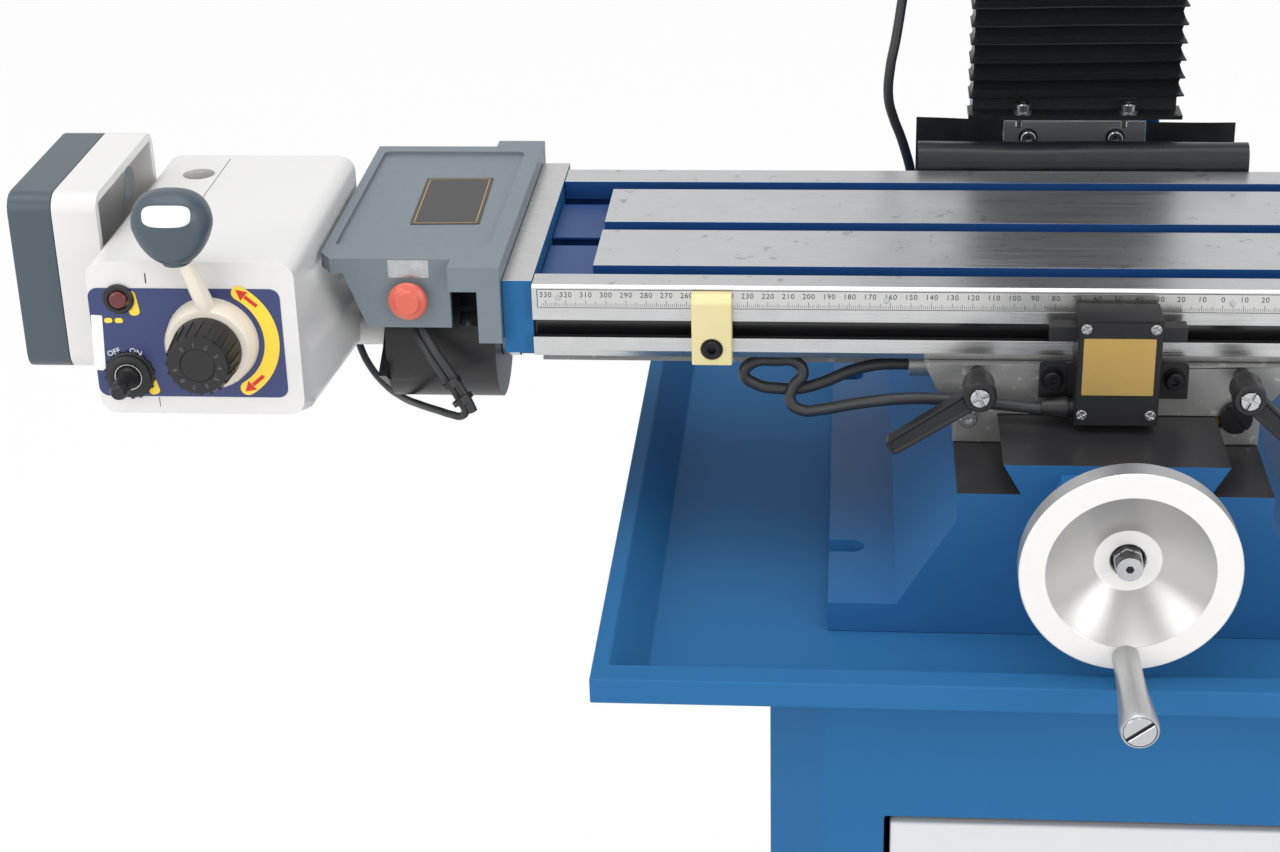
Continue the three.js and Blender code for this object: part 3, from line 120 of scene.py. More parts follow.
def node_copy(node):
    """A CAD node's mesh with its doubles merged and its flat faces joined up."""
    bm = bmesh.new()
    bm.from_mesh(frame["nodes"][node].data)
    bm.transform(frame["nodes"][node].matrix_world)
    bmesh.ops.remove_doubles(bm, verts=bm.verts, dist=5e-6)
    bmesh.ops.dissolve_limit(bm, angle_limit=math.radians(0.6), verts=bm.verts, edges=bm.edges)
    return bm


BODY_OF = {node: body for body, nodes in frame["record"]["behaviour"]["bodies"].items() for node in nodes}


def carry_over(node, materials, soften=0.8, smooth=35, segments=2, choose=None):
    """The CAD node's shape with softened edges. choose(face) picks a material index."""
    bm = node_copy(node)
    if choose:
        for face in bm.faces:
            face.material_index = choose(face)
    made = piece(node + ".look", bm, BODY_OF[node], materials, smooth, soften, segments)
    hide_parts(node)
    return made


def cord_curve(name, route_mm, radius_mm, material, body):
    """One open Bezier spline through the route's points."""
    curve = bpy.data.curves.new(name, "CURVE")
    curve.dimensions = "3D"
    curve.resolution_u = 8
    curve.bevel_depth = radius_mm * MM
    curve.bevel_resolution = 5
    curve.use_fill_caps = True
    spline = curve.splines.new("BEZIER")
    spline.bezier_points.add(len(route_mm) - 1)
    for knot, place in zip(spline.bezier_points, route_mm):
        knot.co = Vector(place) * MM
        knot.handle_left_type = knot.handle_right_type = "AUTO"
    curve.materials.append(material)
    made = bpy.data.objects.new(name, curve)
    bpy.context.scene.collection.objects.link(made)
    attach(made, body)
    return made

# %% [markdown]
# Finishes come next. Several of them share an effect, so each effect is a node
# group with named inputs: a fine mottle that shifts a colour, a mask for rubbed
# spots, and a surface grain that gives a height for the Bump node. All of them
# read Object coordinates, so a pattern keeps its real size and stays on its
# piece when that moves.

# %% Shared shader groups
def new_group(name, inputs, outputs):
    group = bpy.data.node_groups.new(name, "ShaderNodeTree")
    for title, kind, value in inputs:
        socket = group.interface.new_socket(title, in_out="INPUT", socket_type=kind)
        socket.default_value = value
    for title, kind in outputs:
        group.interface.new_socket(title, in_out="OUTPUT", socket_type=kind)
    start = group.nodes.new("NodeGroupInput")
    end = group.nodes.new("NodeGroupOutput")
    return group, start, end


def grain_group():
    """Fine noise for a Bump: Stretch makes it long where one of its numbers is small."""
    group, start, end = new_group(
        "surface grain",
        [("Vector", "NodeSocketVector", (0, 0, 0)), ("Stretch", "NodeSocketVector", (1, 1, 1)),
         ("Scale", "NodeSocketFloat", 600.0)],
        [("Height", "NodeSocketFloat")])
    drawn = group.nodes.new("ShaderNodeVectorMath")
    drawn.operation = "MULTIPLY"
    group.links.new(start.outputs["Vector"], drawn.inputs[0])
    group.links.new(start.outputs["Stretch"], drawn.inputs[1])
    pattern = group.nodes.new("ShaderNodeTexNoise")
    pattern.inputs["Detail"].default_value = 4
    pattern.inputs["Roughness"].default_value = 0.55
    group.links.new(drawn.outputs["Vector"], pattern.inputs["Vector"])
    group.links.new(start.outputs["Scale"], pattern.inputs["Scale"])
    group.links.new(pattern.outputs["Fac"], end.inputs["Height"])
    return group


def mottle_group():
    """Light and dark clouds: the colour times 1 +/- Amount."""
    group, start, end = new_group(
        "mottle",
        [("Color", "NodeSocketColor", (1, 1, 1, 1)), ("Vector", "NodeSocketVector", (0, 0, 0)),
         ("Scale", "NodeSocketFloat", 20.0), ("Amount", "NodeSocketFloat", 0.06)],
        [("Color", "NodeSocketColor")])
    clouds = group.nodes.new("ShaderNodeTexNoise")
    clouds.inputs["Detail"].default_value = 6
    group.links.new(start.outputs["Vector"], clouds.inputs["Vector"])
    group.links.new(start.outputs["Scale"], clouds.inputs["Scale"])
    centred = group.nodes.new("ShaderNodeMath")
    centred.operation = "SUBTRACT"
    centred.inputs[1].default_value = 0.5
    group.links.new(clouds.outputs["Fac"], centred.inputs[0])
    sized = group.nodes.new("ShaderNodeMath")
    sized.operation = "MULTIPLY_ADD"
    sized.inputs[2].default_value = 1.0
    group.links.new(centred.outputs[0], sized.inputs[0])
    group.links.new(start.outputs["Amount"], sized.inputs[1])
    tinted = group.nodes.new("ShaderNodeVectorMath")
    tinted.operation = "SCALE"
    group.links.new(start.outputs["Color"], tinted.inputs[0])
    group.links.new(sized.outputs[0], tinted.inputs["Scale"])
    group.links.new(tinted.outputs["Vector"], end.inputs["Color"])
    return group


def wear_group():
    """A mask for rubbed spots: noise cut off softly at Level."""
    group, start, end = new_group(
        "rubbed spots",
        [("Vector", "NodeSocketVector", (0, 0, 0)), ("Scale", "NodeSocketFloat", 60.0),
         ("Level", "NodeSocketFloat", 0.68), ("Width", "NodeSocketFloat", 0.06)],
        [("Mask", "NodeSocketFloat")])
    spots = group.nodes.new("ShaderNodeTexNoise")
    spots.inputs["Detail"].default_value = 8
    spots.inputs["Roughness"].default_value = 0.62
    group.links.new(start.outputs["Vector"], spots.inputs["Vector"])
    group.links.new(start.outputs["Scale"], spots.inputs["Scale"])
    top = group.nodes.new("ShaderNodeMath")
    top.operation = "ADD"
    group.links.new(start.outputs["Level"], top.inputs[0])
    group.links.new(start.outputs["Width"], top.inputs[1])
    ramp = group.nodes.new("ShaderNodeMapRange")
    group.links.new(spots.outputs["Fac"], ramp.inputs["Value"])
    group.links.new(start.outputs["Level"], ramp.inputs["From Min"])
    group.links.new(top.outputs[0], ramp.inputs["From Max"])
    group.links.new(ramp.outputs["Result"], end.inputs["Mask"])
    return group


MOTTLE = mottle_group()
RUBBED = wear_group()
GRAIN = grain_group()

# %% [markdown]
# A finish is one Principled shader. Its steady numbers are typed straight into
# its sockets, and only what changes over the surface is linked: the mottled
# colour, the roughness that follows a rubbed mask, and the grain's bump.

# %% Finish builder
def srgb(red, green, blue_value):
    """A colour as it is written for a screen, 0 to 255, made linear."""
    def linear(value):
        share = value / 255
        return share / 12.92 if share <= 0.04045 else ((share + 0.055) / 1.055) ** 2.4
    return (linear(red), linear(green), linear(blue_value), 1.0)


def finish(name, color, roughness, metallic=0.0, mottle=(25.0, 0.06), grain=None, bump=0.0,
           rubbed=None, coat=0.0, specular=0.5, rough_span=0.0):
    """grain is (stretch, scale); rubbed is (colour, scale, level)."""
    material = bpy.data.materials.new(name)
    material.use_nodes = True
    tree = material.node_tree
    shader = tree.nodes["Principled BSDF"]
    shader.inputs["Metallic"].default_value = metallic
    shader.inputs["Coat Weight"].default_value = coat
    shader.inputs["Coat Roughness"].default_value = 0.12
    shader.inputs["Specular IOR Level"].default_value = specular
    place = tree.nodes.new("ShaderNodeTexCoord").outputs["Object"]
    cloud = tree.nodes.new("ShaderNodeGroup")
    cloud.node_tree = MOTTLE
    cloud.inputs["Color"].default_value = color
    cloud.inputs["Scale"].default_value, cloud.inputs["Amount"].default_value = mottle
    tree.links.new(place, cloud.inputs["Vector"])
    base = cloud.outputs["Color"]
    if rubbed:
        mask = tree.nodes.new("ShaderNodeGroup")
        mask.node_tree = RUBBED
        mask.inputs["Scale"].default_value = rubbed[1]
        mask.inputs["Level"].default_value = rubbed[2]
        tree.links.new(place, mask.inputs["Vector"])
        blend = tree.nodes.new("ShaderNodeMix")
        blend.data_type = "RGBA"
        blend.inputs["B"].default_value = rubbed[0]
        tree.links.new(mask.outputs["Mask"], blend.inputs["Factor"])
        tree.links.new(base, blend.inputs["A"])
        base = blend.outputs["Result"]
    tree.links.new(base, shader.inputs["Base Color"])
    shader.inputs["Roughness"].default_value = roughness
    if grain:
        fine = tree.nodes.new("ShaderNodeGroup")
        fine.node_tree = GRAIN
        fine.inputs["Stretch"].default_value, fine.inputs["Scale"].default_value = grain
        tree.links.new(place, fine.inputs["Vector"])
        height = fine.outputs["Height"]
        if rough_span:
            spread = tree.nodes.new("ShaderNodeMapRange")
            spread.inputs["From Min"].default_value = 0.3
            spread.inputs["From Max"].default_value = 0.7
            spread.inputs["To Min"].default_value = roughness - rough_span
            spread.inputs["To Max"].default_value = roughness + rough_span
            tree.links.new(height, spread.inputs["Value"])
            tree.links.new(spread.outputs["Result"], shader.inputs["Roughness"])
        if bump:
            relief = tree.nodes.new("ShaderNodeBump")
            relief.inputs["Strength"].default_value = bump
            relief.inputs["Distance"].default_value = 0.2 * MM
            tree.links.new(height, relief.inputs["Height"])
            tree.links.new(relief.outputs["Normal"], shader.inputs["Normal"])
    return material


EVEN = (1, 1, 1)
ALONG_X = (0.02, 1, 1)
ALONG_Y = (1, 0.02, 1)
blue_enamel = finish("blue enamel", srgb(44, 101, 150), 0.46, mottle=(9, 0.10), grain=(EVEN, 260), bump=0.10, coat=0.0,
                     specular=0.05)
slot_blue = finish("blue slot paint", srgb(14, 62, 118), 0.45, mottle=(30, 0.2), grain=(EVEN, 500), bump=0.15)
cast_blue = finish("blue on cast iron", srgb(43, 98, 149), 0.38, mottle=(14, 0.12), grain=(EVEN, 170), bump=0.35,
                   rubbed=(srgb(92, 128, 160), 38, 0.74), coat=0.02, specular=0.12)
ground = finish("ground steel", srgb(208, 209, 210), 0.33, 0.92, mottle=(60, 0.16), grain=(ALONG_X, 900), bump=0.25,
                rubbed=(srgb(176, 176, 176), 110, 0.62), rough_span=0.07)
milled_edge = finish("milled edge", srgb(208, 208, 208), 0.3, 0.9, mottle=(90, 0.2), grain=(ALONG_X, 1300), bump=0.3,
                     rough_span=0.08)
scraped = finish("scraped cast iron", srgb(168, 168, 166), 0.42, 0.75, mottle=(70, 0.3), grain=(EVEN, 420), bump=0.4,
                 rubbed=(srgb(205, 205, 203), 150, 0.6))
oiled = finish("oiled dark steel", srgb(64, 64, 67), 0.34, 0.55, mottle=(50, 0.4), grain=(ALONG_Y, 600), bump=0.2,
               rubbed=(srgb(110, 108, 106), 60, 0.66))
turned = finish("turned aluminium", srgb(214, 214, 211), 0.27, 0.95, mottle=(120, 0.07), grain=(EVEN, 1500), bump=0.06)
screw_steel = finish("bright screw steel", srgb(196, 198, 200), 0.22, 0.95, mottle=(200, 0.1), grain=(EVEN, 900),
                     bump=0.05)
black_screw = finish("black oxide", srgb(26, 26, 28), 0.38, 0.4, mottle=(200, 0.2), grain=(EVEN, 900), bump=0.1)
hammered = finish("hood enamel", srgb(110, 120, 127), 0.42, mottle=(140, 0.12), grain=(EVEN, 620), bump=0.5)
feed_white = finish("feed unit enamel", srgb(216, 215, 213), 0.3, mottle=(8, 0.03), grain=(EVEN, 300), bump=0.06,
                    coat=0.2)
box_white = finish("cabinet door enamel", srgb(206, 207, 208), 0.4, mottle=(8, 0.04), grain=(EVEN, 420), bump=0.2)
cap_grey = finish("moulded grey", srgb(66, 78, 87), 0.38, mottle=(40, 0.06), grain=(EVEN, 700), bump=0.12, coat=0.1)
cream = finish("cream moulding", srgb(228, 220, 205), 0.32, mottle=(20, 0.03), grain=(EVEN, 500), bump=0.05, coat=0.2)
black = finish("black moulding", srgb(30, 30, 32), 0.4, mottle=(60, 0.15), grain=(EVEN, 700), bump=0.2)
gloss_black = finish("gloss black enamel", srgb(24, 24, 26), 0.22, mottle=(30, 0.1), grain=(EVEN, 240), bump=0.08,
                     coat=0.4)
rubber = finish("black rubber", srgb(32, 33, 36), 0.5, mottle=(80, 0.25), grain=(EVEN, 800), bump=0.25)
lead_grey = finish("lead jacket", srgb(44, 45, 47), 0.45, mottle=(100, 0.2), grain=(EVEN, 900), bump=0.1)
yellow = finish("yellow enamel", srgb(216, 205, 152), 0.36, mottle=(60, 0.07), grain=(EVEN, 500), bump=0.2)
coral = finish("coral moulding", srgb(208, 96, 77), 0.36, mottle=(60, 0.05), grain=(EVEN, 600), bump=0.05, coat=0.2)
red = finish("red moulding", srgb(196, 30, 30), 0.3, mottle=(60, 0.05), grain=(EVEN, 600), bump=0.05, coat=0.3)
bronze = finish("bearing bronze", srgb(176, 138, 78), 0.35, 0.85, mottle=(80, 0.2), grain=(EVEN, 700), bump=0.15)
brass_plate = finish("brass plate", srgb(206, 171, 98), 0.34, 0.5, mottle=(90, 0.18), grain=(ALONG_X, 800), bump=0.1)
navy = finish("navy plate", srgb(44, 56, 106), 0.34, mottle=(60, 0.12), grain=(EVEN, 700), bump=0.05, coat=0.3)
plate_black = finish("dark plate", srgb(48, 47, 48), 0.4, mottle=(80, 0.12), grain=(EVEN, 700), bump=0.05)
gold_line = finish("gold line", srgb(190, 154, 84), 0.35, 0.6, mottle=(120, 0.1), grain=(EVEN, 900), bump=0.05)
white_print = finish("white print", srgb(232, 233, 234), 0.45, mottle=(90, 0.03), grain=(EVEN, 900), bump=0.02)
black_print = finish("black print", srgb(34, 34, 36), 0.5, mottle=(90, 0.1), grain=(EVEN, 900), bump=0.02)
yellow_print = finish("yellow print", srgb(244, 210, 62), 0.42, mottle=(90, 0.05), grain=(EVEN, 900), bump=0.02)
red_print = finish("red print", srgb(206, 44, 40), 0.42, mottle=(90, 0.05), grain=(EVEN, 900), bump=0.02)
print(len(bpy.data.materials), "finishes")

# %% [markdown]
# The stage is a plain pale floor under a white sky, lit by three large soft
# lamps. Both show as white to the camera and in reflections through Light Path,
# so that the lamps can stay at a plain level and no pale piece burns out.

# %% Stage
def shown_white(tree):
    """1 for the rays that look at the surroundings: the camera's, mirrored ones and ones through glass."""
    rays = tree.nodes.new("ShaderNodeLightPath")
    looks = rays.outputs["Is Camera Ray"]
    for kind in ("Is Glossy Ray", "Is Transmission Ray"):
        either = tree.nodes.new("ShaderNodeMath")
        either.operation = "MAXIMUM"
        tree.links.new(looks, either.inputs[0])
        tree.links.new(rays.outputs[kind], either.inputs[1])
        looks = either.outputs[0]
    return looks


def pale_material():
    material = bpy.data.materials.new("pale floor")
    material.use_nodes = True
    tree = material.node_tree
    shader = tree.nodes["Principled BSDF"]
    shader.inputs["Base Color"].default_value = (0.9, 0.9, 0.9, 1)
    shader.inputs["Roughness"].default_value = 0.8
    glow = tree.nodes.new("ShaderNodeEmission")
    glow.inputs["Color"].default_value = (1, 1, 1, 1)
    shared = tree.nodes.new("ShaderNodeMath")
    shared.operation = "MULTIPLY"
    shared.inputs[1].default_value = 0.88
    tree.links.new(shown_white(tree), shared.inputs[0])
    blend = tree.nodes.new("ShaderNodeMixShader")
    tree.links.new(shared.outputs[0], blend.inputs["Fac"])
    tree.links.new(shader.outputs["BSDF"], blend.inputs[1])
    tree.links.new(glow.outputs["Emission"], blend.inputs[2])
    tree.links.new(blend.outputs["Shader"], tree.nodes["Material Output"].inputs["Surface"])
    return material


FLOOR_HALF = 6.0
floor_bm = bmesh.new()
bmesh.ops.create_grid(floor_bm, x_segments=1, y_segments=1, size=FLOOR_HALF)
floor_mesh = bpy.data.meshes.new("floor")
floor_bm.to_mesh(floor_mesh)
floor_bm.free()
floor_mesh.materials.append(pale_material())
floor = bpy.data.objects.new("floor", floor_mesh)
bpy.context.scene.collection.objects.link(floor)
floor.location.z = -0.0005

# %% World and lamps
world = bpy.data.worlds.new("white studio")
bpy.context.scene.world = world
world.use_nodes = True
world_tree = world.node_tree
dim = world_tree.nodes["Background"]
dim.inputs["Color"].default_value = (1, 1, 1, 1)
dim.inputs["Strength"].default_value = 0.92
white = world_tree.nodes.new("ShaderNodeBackground")
white.inputs["Strength"].default_value = 1.0
world_mix = world_tree.nodes.new("ShaderNodeMixShader")
world_tree.links.new(shown_white(world_tree), world_mix.inputs["Fac"])
world_tree.links.new(dim.outputs["Background"], world_mix.inputs[1])
world_tree.links.new(white.outputs["Background"], world_mix.inputs[2])
world_tree.links.new(world_mix.outputs["Shader"], world_tree.nodes["World Output"].inputs["Surface"])


def soft_lamp(name, at, aim, size, watts):
    data = bpy.data.lights.new(name, "AREA")
    data.shape = "RECTANGLE"
    data.size, data.size_y = size
    data.energy = watts
    lamp = bpy.data.objects.new(name, data)
    lamp.location = at
    lamp.rotation_euler = (Vector(aim) - Vector(at)).to_track_quat("-Z", "Y").to_euler()
    bpy.context.scene.collection.objects.link(lamp)


TABLE_CENTRE = (0, -0.05, 0.95)
soft_lamp("lamp over", (-0.4, -0.5, 3.1), TABLE_CENTRE, (2.4, 1.8), 24)
soft_lamp("lamp left front", (-2.2, -2.2, 1.9), TABLE_CENTRE, (1.6, 1.8), 22)
soft_lamp("lamp right front", (1.9, -2.4, 1.7), TABLE_CENTRE, (1.4, 1.6), 20)
bpy.context.scene.view_settings.view_transform = "Standard"

# %% [markdown]
# Small turned and drawn parts recur everywhere, so a few shape helpers come
# first. Each one builds a shape in millimetres, lying on the XY plane with Z
# outwards, from a bmesh operator: a lathe spins a profile, a plate bevels the
# corners of a face and extrudes it, and words come from a text curve. place()
# then turns the shape to face out of the surface it sits on.

# %% Shape helpers
def lathe(profile, steps=48):
    """Spins (radius, height) points about Z. Points at radius 0 close the pole."""
    bm = bmesh.new()
    verts = [bm.verts.new((radius, 0, height)) for radius, height in profile]
    edges = [bm.edges.new(pair) for pair in zip(verts, verts[1:])]
    bmesh.ops.spin(bm, geom=verts + edges, cent=(0, 0, 0), axis=(0, 0, 1), angle=math.tau, steps=steps, use_merge=True)
    bmesh.ops.remove_doubles(bm, verts=bm.verts, dist=1e-4)
    bmesh.ops.recalc_face_normals(bm, faces=bm.faces)
    return bm


def plate(width, height, thick, corner=0.0, segments=5):
    """A flat plate with rounded corners, its back on Z = 0."""
    bm = bmesh.new()
    bmesh.ops.create_grid(bm, x_segments=1, y_segments=1, size=0.5)
    bmesh.ops.scale(bm, vec=(width, height, 1), verts=bm.verts)
    if corner:
        bmesh.ops.bevel(bm, geom=list(bm.verts), offset=corner, segments=segments, profile=0.5, affect="VERTICES",
                        material=-1)
    return thicken(bm, thick)


def thicken(bm, thick):
    """Extrudes flat faces up by thick, keeps the bottom, and turns normals outwards."""
    bottom = bmesh.ops.duplicate(bm, geom=list(bm.faces))
    grown = bmesh.ops.extrude_face_region(bm, geom=[e for e in bottom["geom"] if isinstance(e, bmesh.types.BMFace)])
    lifted = [e for e in grown["geom"] if isinstance(e, bmesh.types.BMVert)]
    bmesh.ops.translate(bm, vec=(0, 0, thick), verts=lifted)
    inner = [e for e in bottom["geom"] if isinstance(e, bmesh.types.BMFace) and e.is_valid]
    if inner:
        bmesh.ops.delete(bm, geom=inner, context="FACES_ONLY")
    bmesh.ops.remove_doubles(bm, verts=bm.verts, dist=1e-4)
    bmesh.ops.recalc_face_normals(bm, faces=bm.faces)
    return bm


def block(low, high):
    """A box between two corners, in the shape's own millimetres."""
    bm = bmesh.new()
    bmesh.ops.create_cube(bm, size=1)
    bmesh.ops.scale(bm, vec=[b - a for a, b in zip(low, high)], verts=bm.verts)
    bmesh.ops.translate(bm, vec=[(a + b) / 2 for a, b in zip(low, high)], verts=bm.verts)
    return bm


def arc_strip(inner, outer, start_deg, end_deg, thick, steps=24):
    """A strip bent round a centre, from start to end, measured from +X to +Y."""
    bm = bmesh.new()
    a = math.radians(start_deg)
    verts = [bm.verts.new((r * math.cos(a), r * math.sin(a), 0)) for r in (inner, outer)]
    edge = bm.edges.new(verts)
    bmesh.ops.spin(bm, geom=verts + [edge], cent=(0, 0, 0), axis=(0, 0, 1),
                   angle=math.radians(end_deg - start_deg), steps=steps)
    return thicken(bm, thick)


def words(text, size, thick=0.12):
    """Text as a mesh, centred on the origin, in millimetres."""
    curve = bpy.data.curves.new("words", "FONT")
    curve.body = text
    curve.size = size
    curve.resolution_u = 3
    curve.align_x, curve.align_y = "CENTER", "CENTER"
    curve.extrude = thick / 2
    holder = bpy.data.objects.new("words", curve)
    mesh = bpy.data.meshes.new_from_object(holder)
    bm = bmesh.new()
    bm.from_mesh(mesh)
    bmesh.ops.remove_doubles(bm, verts=bm.verts, dist=1e-5)
    bmesh.ops.translate(bm, vec=(0, 0, thick / 2), verts=bm.verts)
    bpy.data.meshes.remove(mesh)
    bpy.data.objects.remove(holder)
    bpy.data.curves.remove(curve)
    return bm


def socket_screw(radius, height, socket):
    """A cap screw's head: chamfered rim and a hexagonal socket."""
    depth = height * 0.6
    bm = lathe([(0, height - depth), (socket, height - depth), (socket, height), (radius - 0.5, height),
                (radius, height - 0.5), (radius, 0), (0, 0)], 36)
    for vert in bm.verts:
        reach = math.hypot(vert.co.x, vert.co.y)
        if abs(reach - socket) < 1e-3:
            angle = math.atan2(vert.co.y, vert.co.x) % (math.pi / 3) - math.pi / 6
            to_flat = math.cos(math.pi / 6) / math.cos(angle)
            vert.co.x *= to_flat
            vert.co.y *= to_flat
    return bm


def sector_disc(radius, height, base, gaps, steps=32):
    """A disc cut by straight slots through its centre: gaps is [(angle, width)]."""
    whole = bmesh.new()
    bmesh.ops.create_circle(whole, cap_ends=True, radius=radius, segments=steps)
    parts = [whole]
    for angle, width in gaps:
        normal = Vector((-math.sin(math.radians(angle)), math.cos(math.radians(angle)), 0))
        cut_parts = []
        for part in parts:
            for side in (1, -1):
                half = part.copy()
                bmesh.ops.bisect_plane(half, geom=list(half.verts) + list(half.edges) + list(half.faces),
                                       plane_co=normal * side * width / 2, plane_no=normal * side, clear_inner=True)
                cut_parts.append(half)
            part.free()
        parts = cut_parts
    bm = lathe([(0, 0), (radius, 0), (radius, base), (0, base)], steps)
    for part in parts:
        thicken(part, height - base)
        put(bm, part, Matrix.Translation((0, 0, base)))
    bmesh.ops.bevel(bm, geom=[e for e in bm.edges if len(e.link_faces) == 2 and e.calc_face_angle(0) > 1.2
                              and min(v.co.z for v in e.verts) > height - 0.01],
                    offset=0.25, segments=1, profile=0.5, affect="EDGES", material=-1, clamp_overlap=True)
    return bm


def put(bm, shape, matrix=None, index=0):
    """Adds a shape to a bmesh, in place, with one material index. The shape is used up."""
    for face in shape.faces:
        face.material_index = index
    if matrix is not None:
        bmesh.ops.transform(shape, matrix=matrix, verts=shape.verts)
        if matrix.determinant() < 0:
            bmesh.ops.reverse_faces(shape, faces=shape.faces)
    carrier = bpy.data.meshes.new("carrier")
    shape.to_mesh(carrier)
    shape.free()
    bm.from_mesh(carrier)
    bpy.data.meshes.remove(carrier)


AXES = {"x": Vector((1, 0, 0)), "-x": Vector((-1, 0, 0)), "y": Vector((0, 1, 0)), "-y": Vector((0, -1, 0)),
        "z": Vector((0, 0, 1)), "-z": Vector((0, 0, -1))}


def place(at_mm, out="-y", top="z", turn_deg=0.0):
    """A matrix from a shape's millimetres to the frame: Z goes out, Y goes to the top."""
    z_axis = (AXES[out] if isinstance(out, str) else Vector(out)).normalized()
    y_axis = AXES[top] if isinstance(top, str) else Vector(top)
    y_axis = (y_axis - z_axis * y_axis.dot(z_axis)).normalized()
    basis = Matrix((y_axis.cross(z_axis), y_axis, z_axis)).transposed().to_4x4()
    spun = basis @ Matrix.Rotation(math.radians(turn_deg), 4, "Z")
    return Matrix.Translation(Vector(at_mm) * MM) @ spun @ Matrix.Scale(MM, 4)


def corners(node):
    """A node's lowest and highest corner, in millimetres."""
    low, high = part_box(node)
    return Vector(low) / MM, Vector(high) / MM


def edge_line(node, axis, side):
    """One side of a node's box, in millimetres: edge_line("table", 0, 1) is its right end."""
    return corners(node)[side][axis]

# %% Cross and coil helpers
def phillips(radius, height, blade=0.9):
    """A pan head with a cross: four quarters on a low disc."""
    return sector_disc(radius, height, height * 0.45, [(45, blade), (135, blade)], 24)


def coil_spring(radius, wire, length, turns, steps=14):
    """A wire swept round Z: a small circle spun in a screw."""
    bm = bmesh.new()
    ring = bmesh.ops.create_circle(bm, cap_ends=True, radius=wire, segments=6,
                                   matrix=Matrix.Translation((radius, 0, 0)) @ Matrix.Rotation(math.pi / 2, 4, "X"))
    edges = [e for e in bm.edges]
    faces = list(bm.faces)
    count = int(turns * steps)
    bmesh.ops.spin(bm, geom=ring["verts"] + edges + faces, cent=(0, 0, 0), axis=(0, 0, 1), dvec=(0, 0, length / count),
                   angle=math.tau * turns, steps=count)
    bmesh.ops.remove_doubles(bm, verts=bm.verts, dist=1e-4)
    bmesh.ops.recalc_face_normals(bm, faces=bm.faces)
    return bm

# %% [markdown]
# ## The stand
# The cabinet and the chip tray are folded sheet with spray enamel. Folds in
# sheet have a radius of about the sheet's thickness, so their edges get a wider
# bevel than a machined edge. The tray's rim is a rolled hem, wider still.

# %% Cabinet, door and tray
carry_over("cabinet", [blue_enamel], 1.6, segments=3)
carry_over("cabinet_door", [box_white], 1.6, segments=3)
carry_over("door_hinge", [oiled], 0.4)
carry_over("door_pull", [black], 1.5, segments=3)
carry_over("chip_tray", [blue_enamel], 1.9, smooth=20, segments=4)

FOOT_INSET = 34
LOUVRE_ROWS, LOUVRE_PITCH, LOUVRE_AT = 9, 14, (40, 560)  # how many, how far apart, and the lowest one's Y and Z
DOOR_LOCK_X, DOOR_LOCK_Z = -78, 520
levellers = bmesh.new()
cab_low, cab_high = corners("cabinet")
for x in (cab_low.x + FOOT_INSET, cab_high.x - FOOT_INSET):
    for y in (cab_low.y + FOOT_INSET, cab_high.y - FOOT_INSET):
        put(levellers, lathe([(0, 0), (16, 0), (16, 2.5), (9, 4.5), (9, 8), (0, 8)], 24), place((x, y, 0.1), "z", "y"))
piece("cabinet.feet", levellers, "frame", [black_screw])

grille = bmesh.new()
for side, out in ((-1, "-x"), (1, "x")):
    for row in range(LOUVRE_ROWS):
        slat = lathe([(0, 0), (3.4, 0), (2.6, 1.2), (0, 1.5)], 12)
        bmesh.ops.scale(slat, vec=(11, 1, 1), verts=slat.verts)
        put(grille, slat, place((side * cab_high.x, LOUVRE_AT[0], LOUVRE_AT[1] + row * LOUVRE_PITCH), out, "z"))
piece("cabinet.louvres", grille, "frame", [blue_enamel], smooth=40)

lock = bmesh.new()
door_front = edge_line("cabinet_door", 1, 0)
put(lock, lathe([(0, 0), (11, 0), (11, 1.6), (9.5, 2.6), (0, 2.6)], 32),
    place((DOOR_LOCK_X, door_front, DOOR_LOCK_Z), "-y"), 0)
put(lock, plate(1.6, 7, 0.3), place((DOOR_LOCK_X, door_front - 2.6, DOOR_LOCK_Z), "-y"), 1)
piece("cabinet_door.lock", lock, "door", [screw_steel, black])

# %% [markdown]
# ## Base casting
# The base is a painted iron casting, so its edges are rounder than the sheet's
# and its paint is a little uneven. Its dovetail top and the ledges beside it are
# machined and oiled, which is why they look almost black.

# %% Base
WAY_TOP = edge_line("base_casting", 2, 1)
WAY_LEDGE = WAY_TOP - 15.5
WAY_HALF, LEDGE_HALF = 53.4, 74.7


def base_face(face):
    centre = face.calc_center_median() / MM
    up_facing = face.normal.z > 0.9
    if up_facing and (centre.z > WAY_TOP - 0.5 or (abs(centre.z - WAY_LEDGE) < 1 and abs(centre.x) < LEDGE_HALF + 1)):
        return 1
    flank = WAY_LEDGE + 0.5 < centre.z < WAY_TOP - 0.2 and abs(face.normal.x) > 0.5 and abs(centre.x) < WAY_HALF + 1
    return 1 if flank else 0


carry_over("base_casting", [cast_blue, oiled], 1.4, segments=3, choose=base_face)

base_bolts = bmesh.new()
for x in (-66, 66):
    for y in (136, 222):
        put(base_bolts, socket_screw(6.5, 8, 3.6), place((x, y, WAY_TOP + 22.3), "z", "y"))
piece("column.foot_screws", base_bolts, "frame", [black_screw])

# %% [markdown]
# ## Saddle, locks and limit switch
# The saddle is bare iron that was scraped by hand, so its grey is cloudy. Two
# clamp levers sit on studs in its front face, each with a spring that lets the
# lever be lifted and turned, and a cross-headed screw that keeps it on.

# %% Saddle and its fixings
TABLE_BOTTOM = edge_line("table_stop_left", 2, 0)
SADDLE_FRONT = edge_line("saddle", 1, 0)
carry_over("saddle", [scraped], 1.0, segments=2)
for gib in ("saddle_gib", "table_gib", "y_nut", "x_nut"):
    carry_over(gib, [bronze], 0.3)

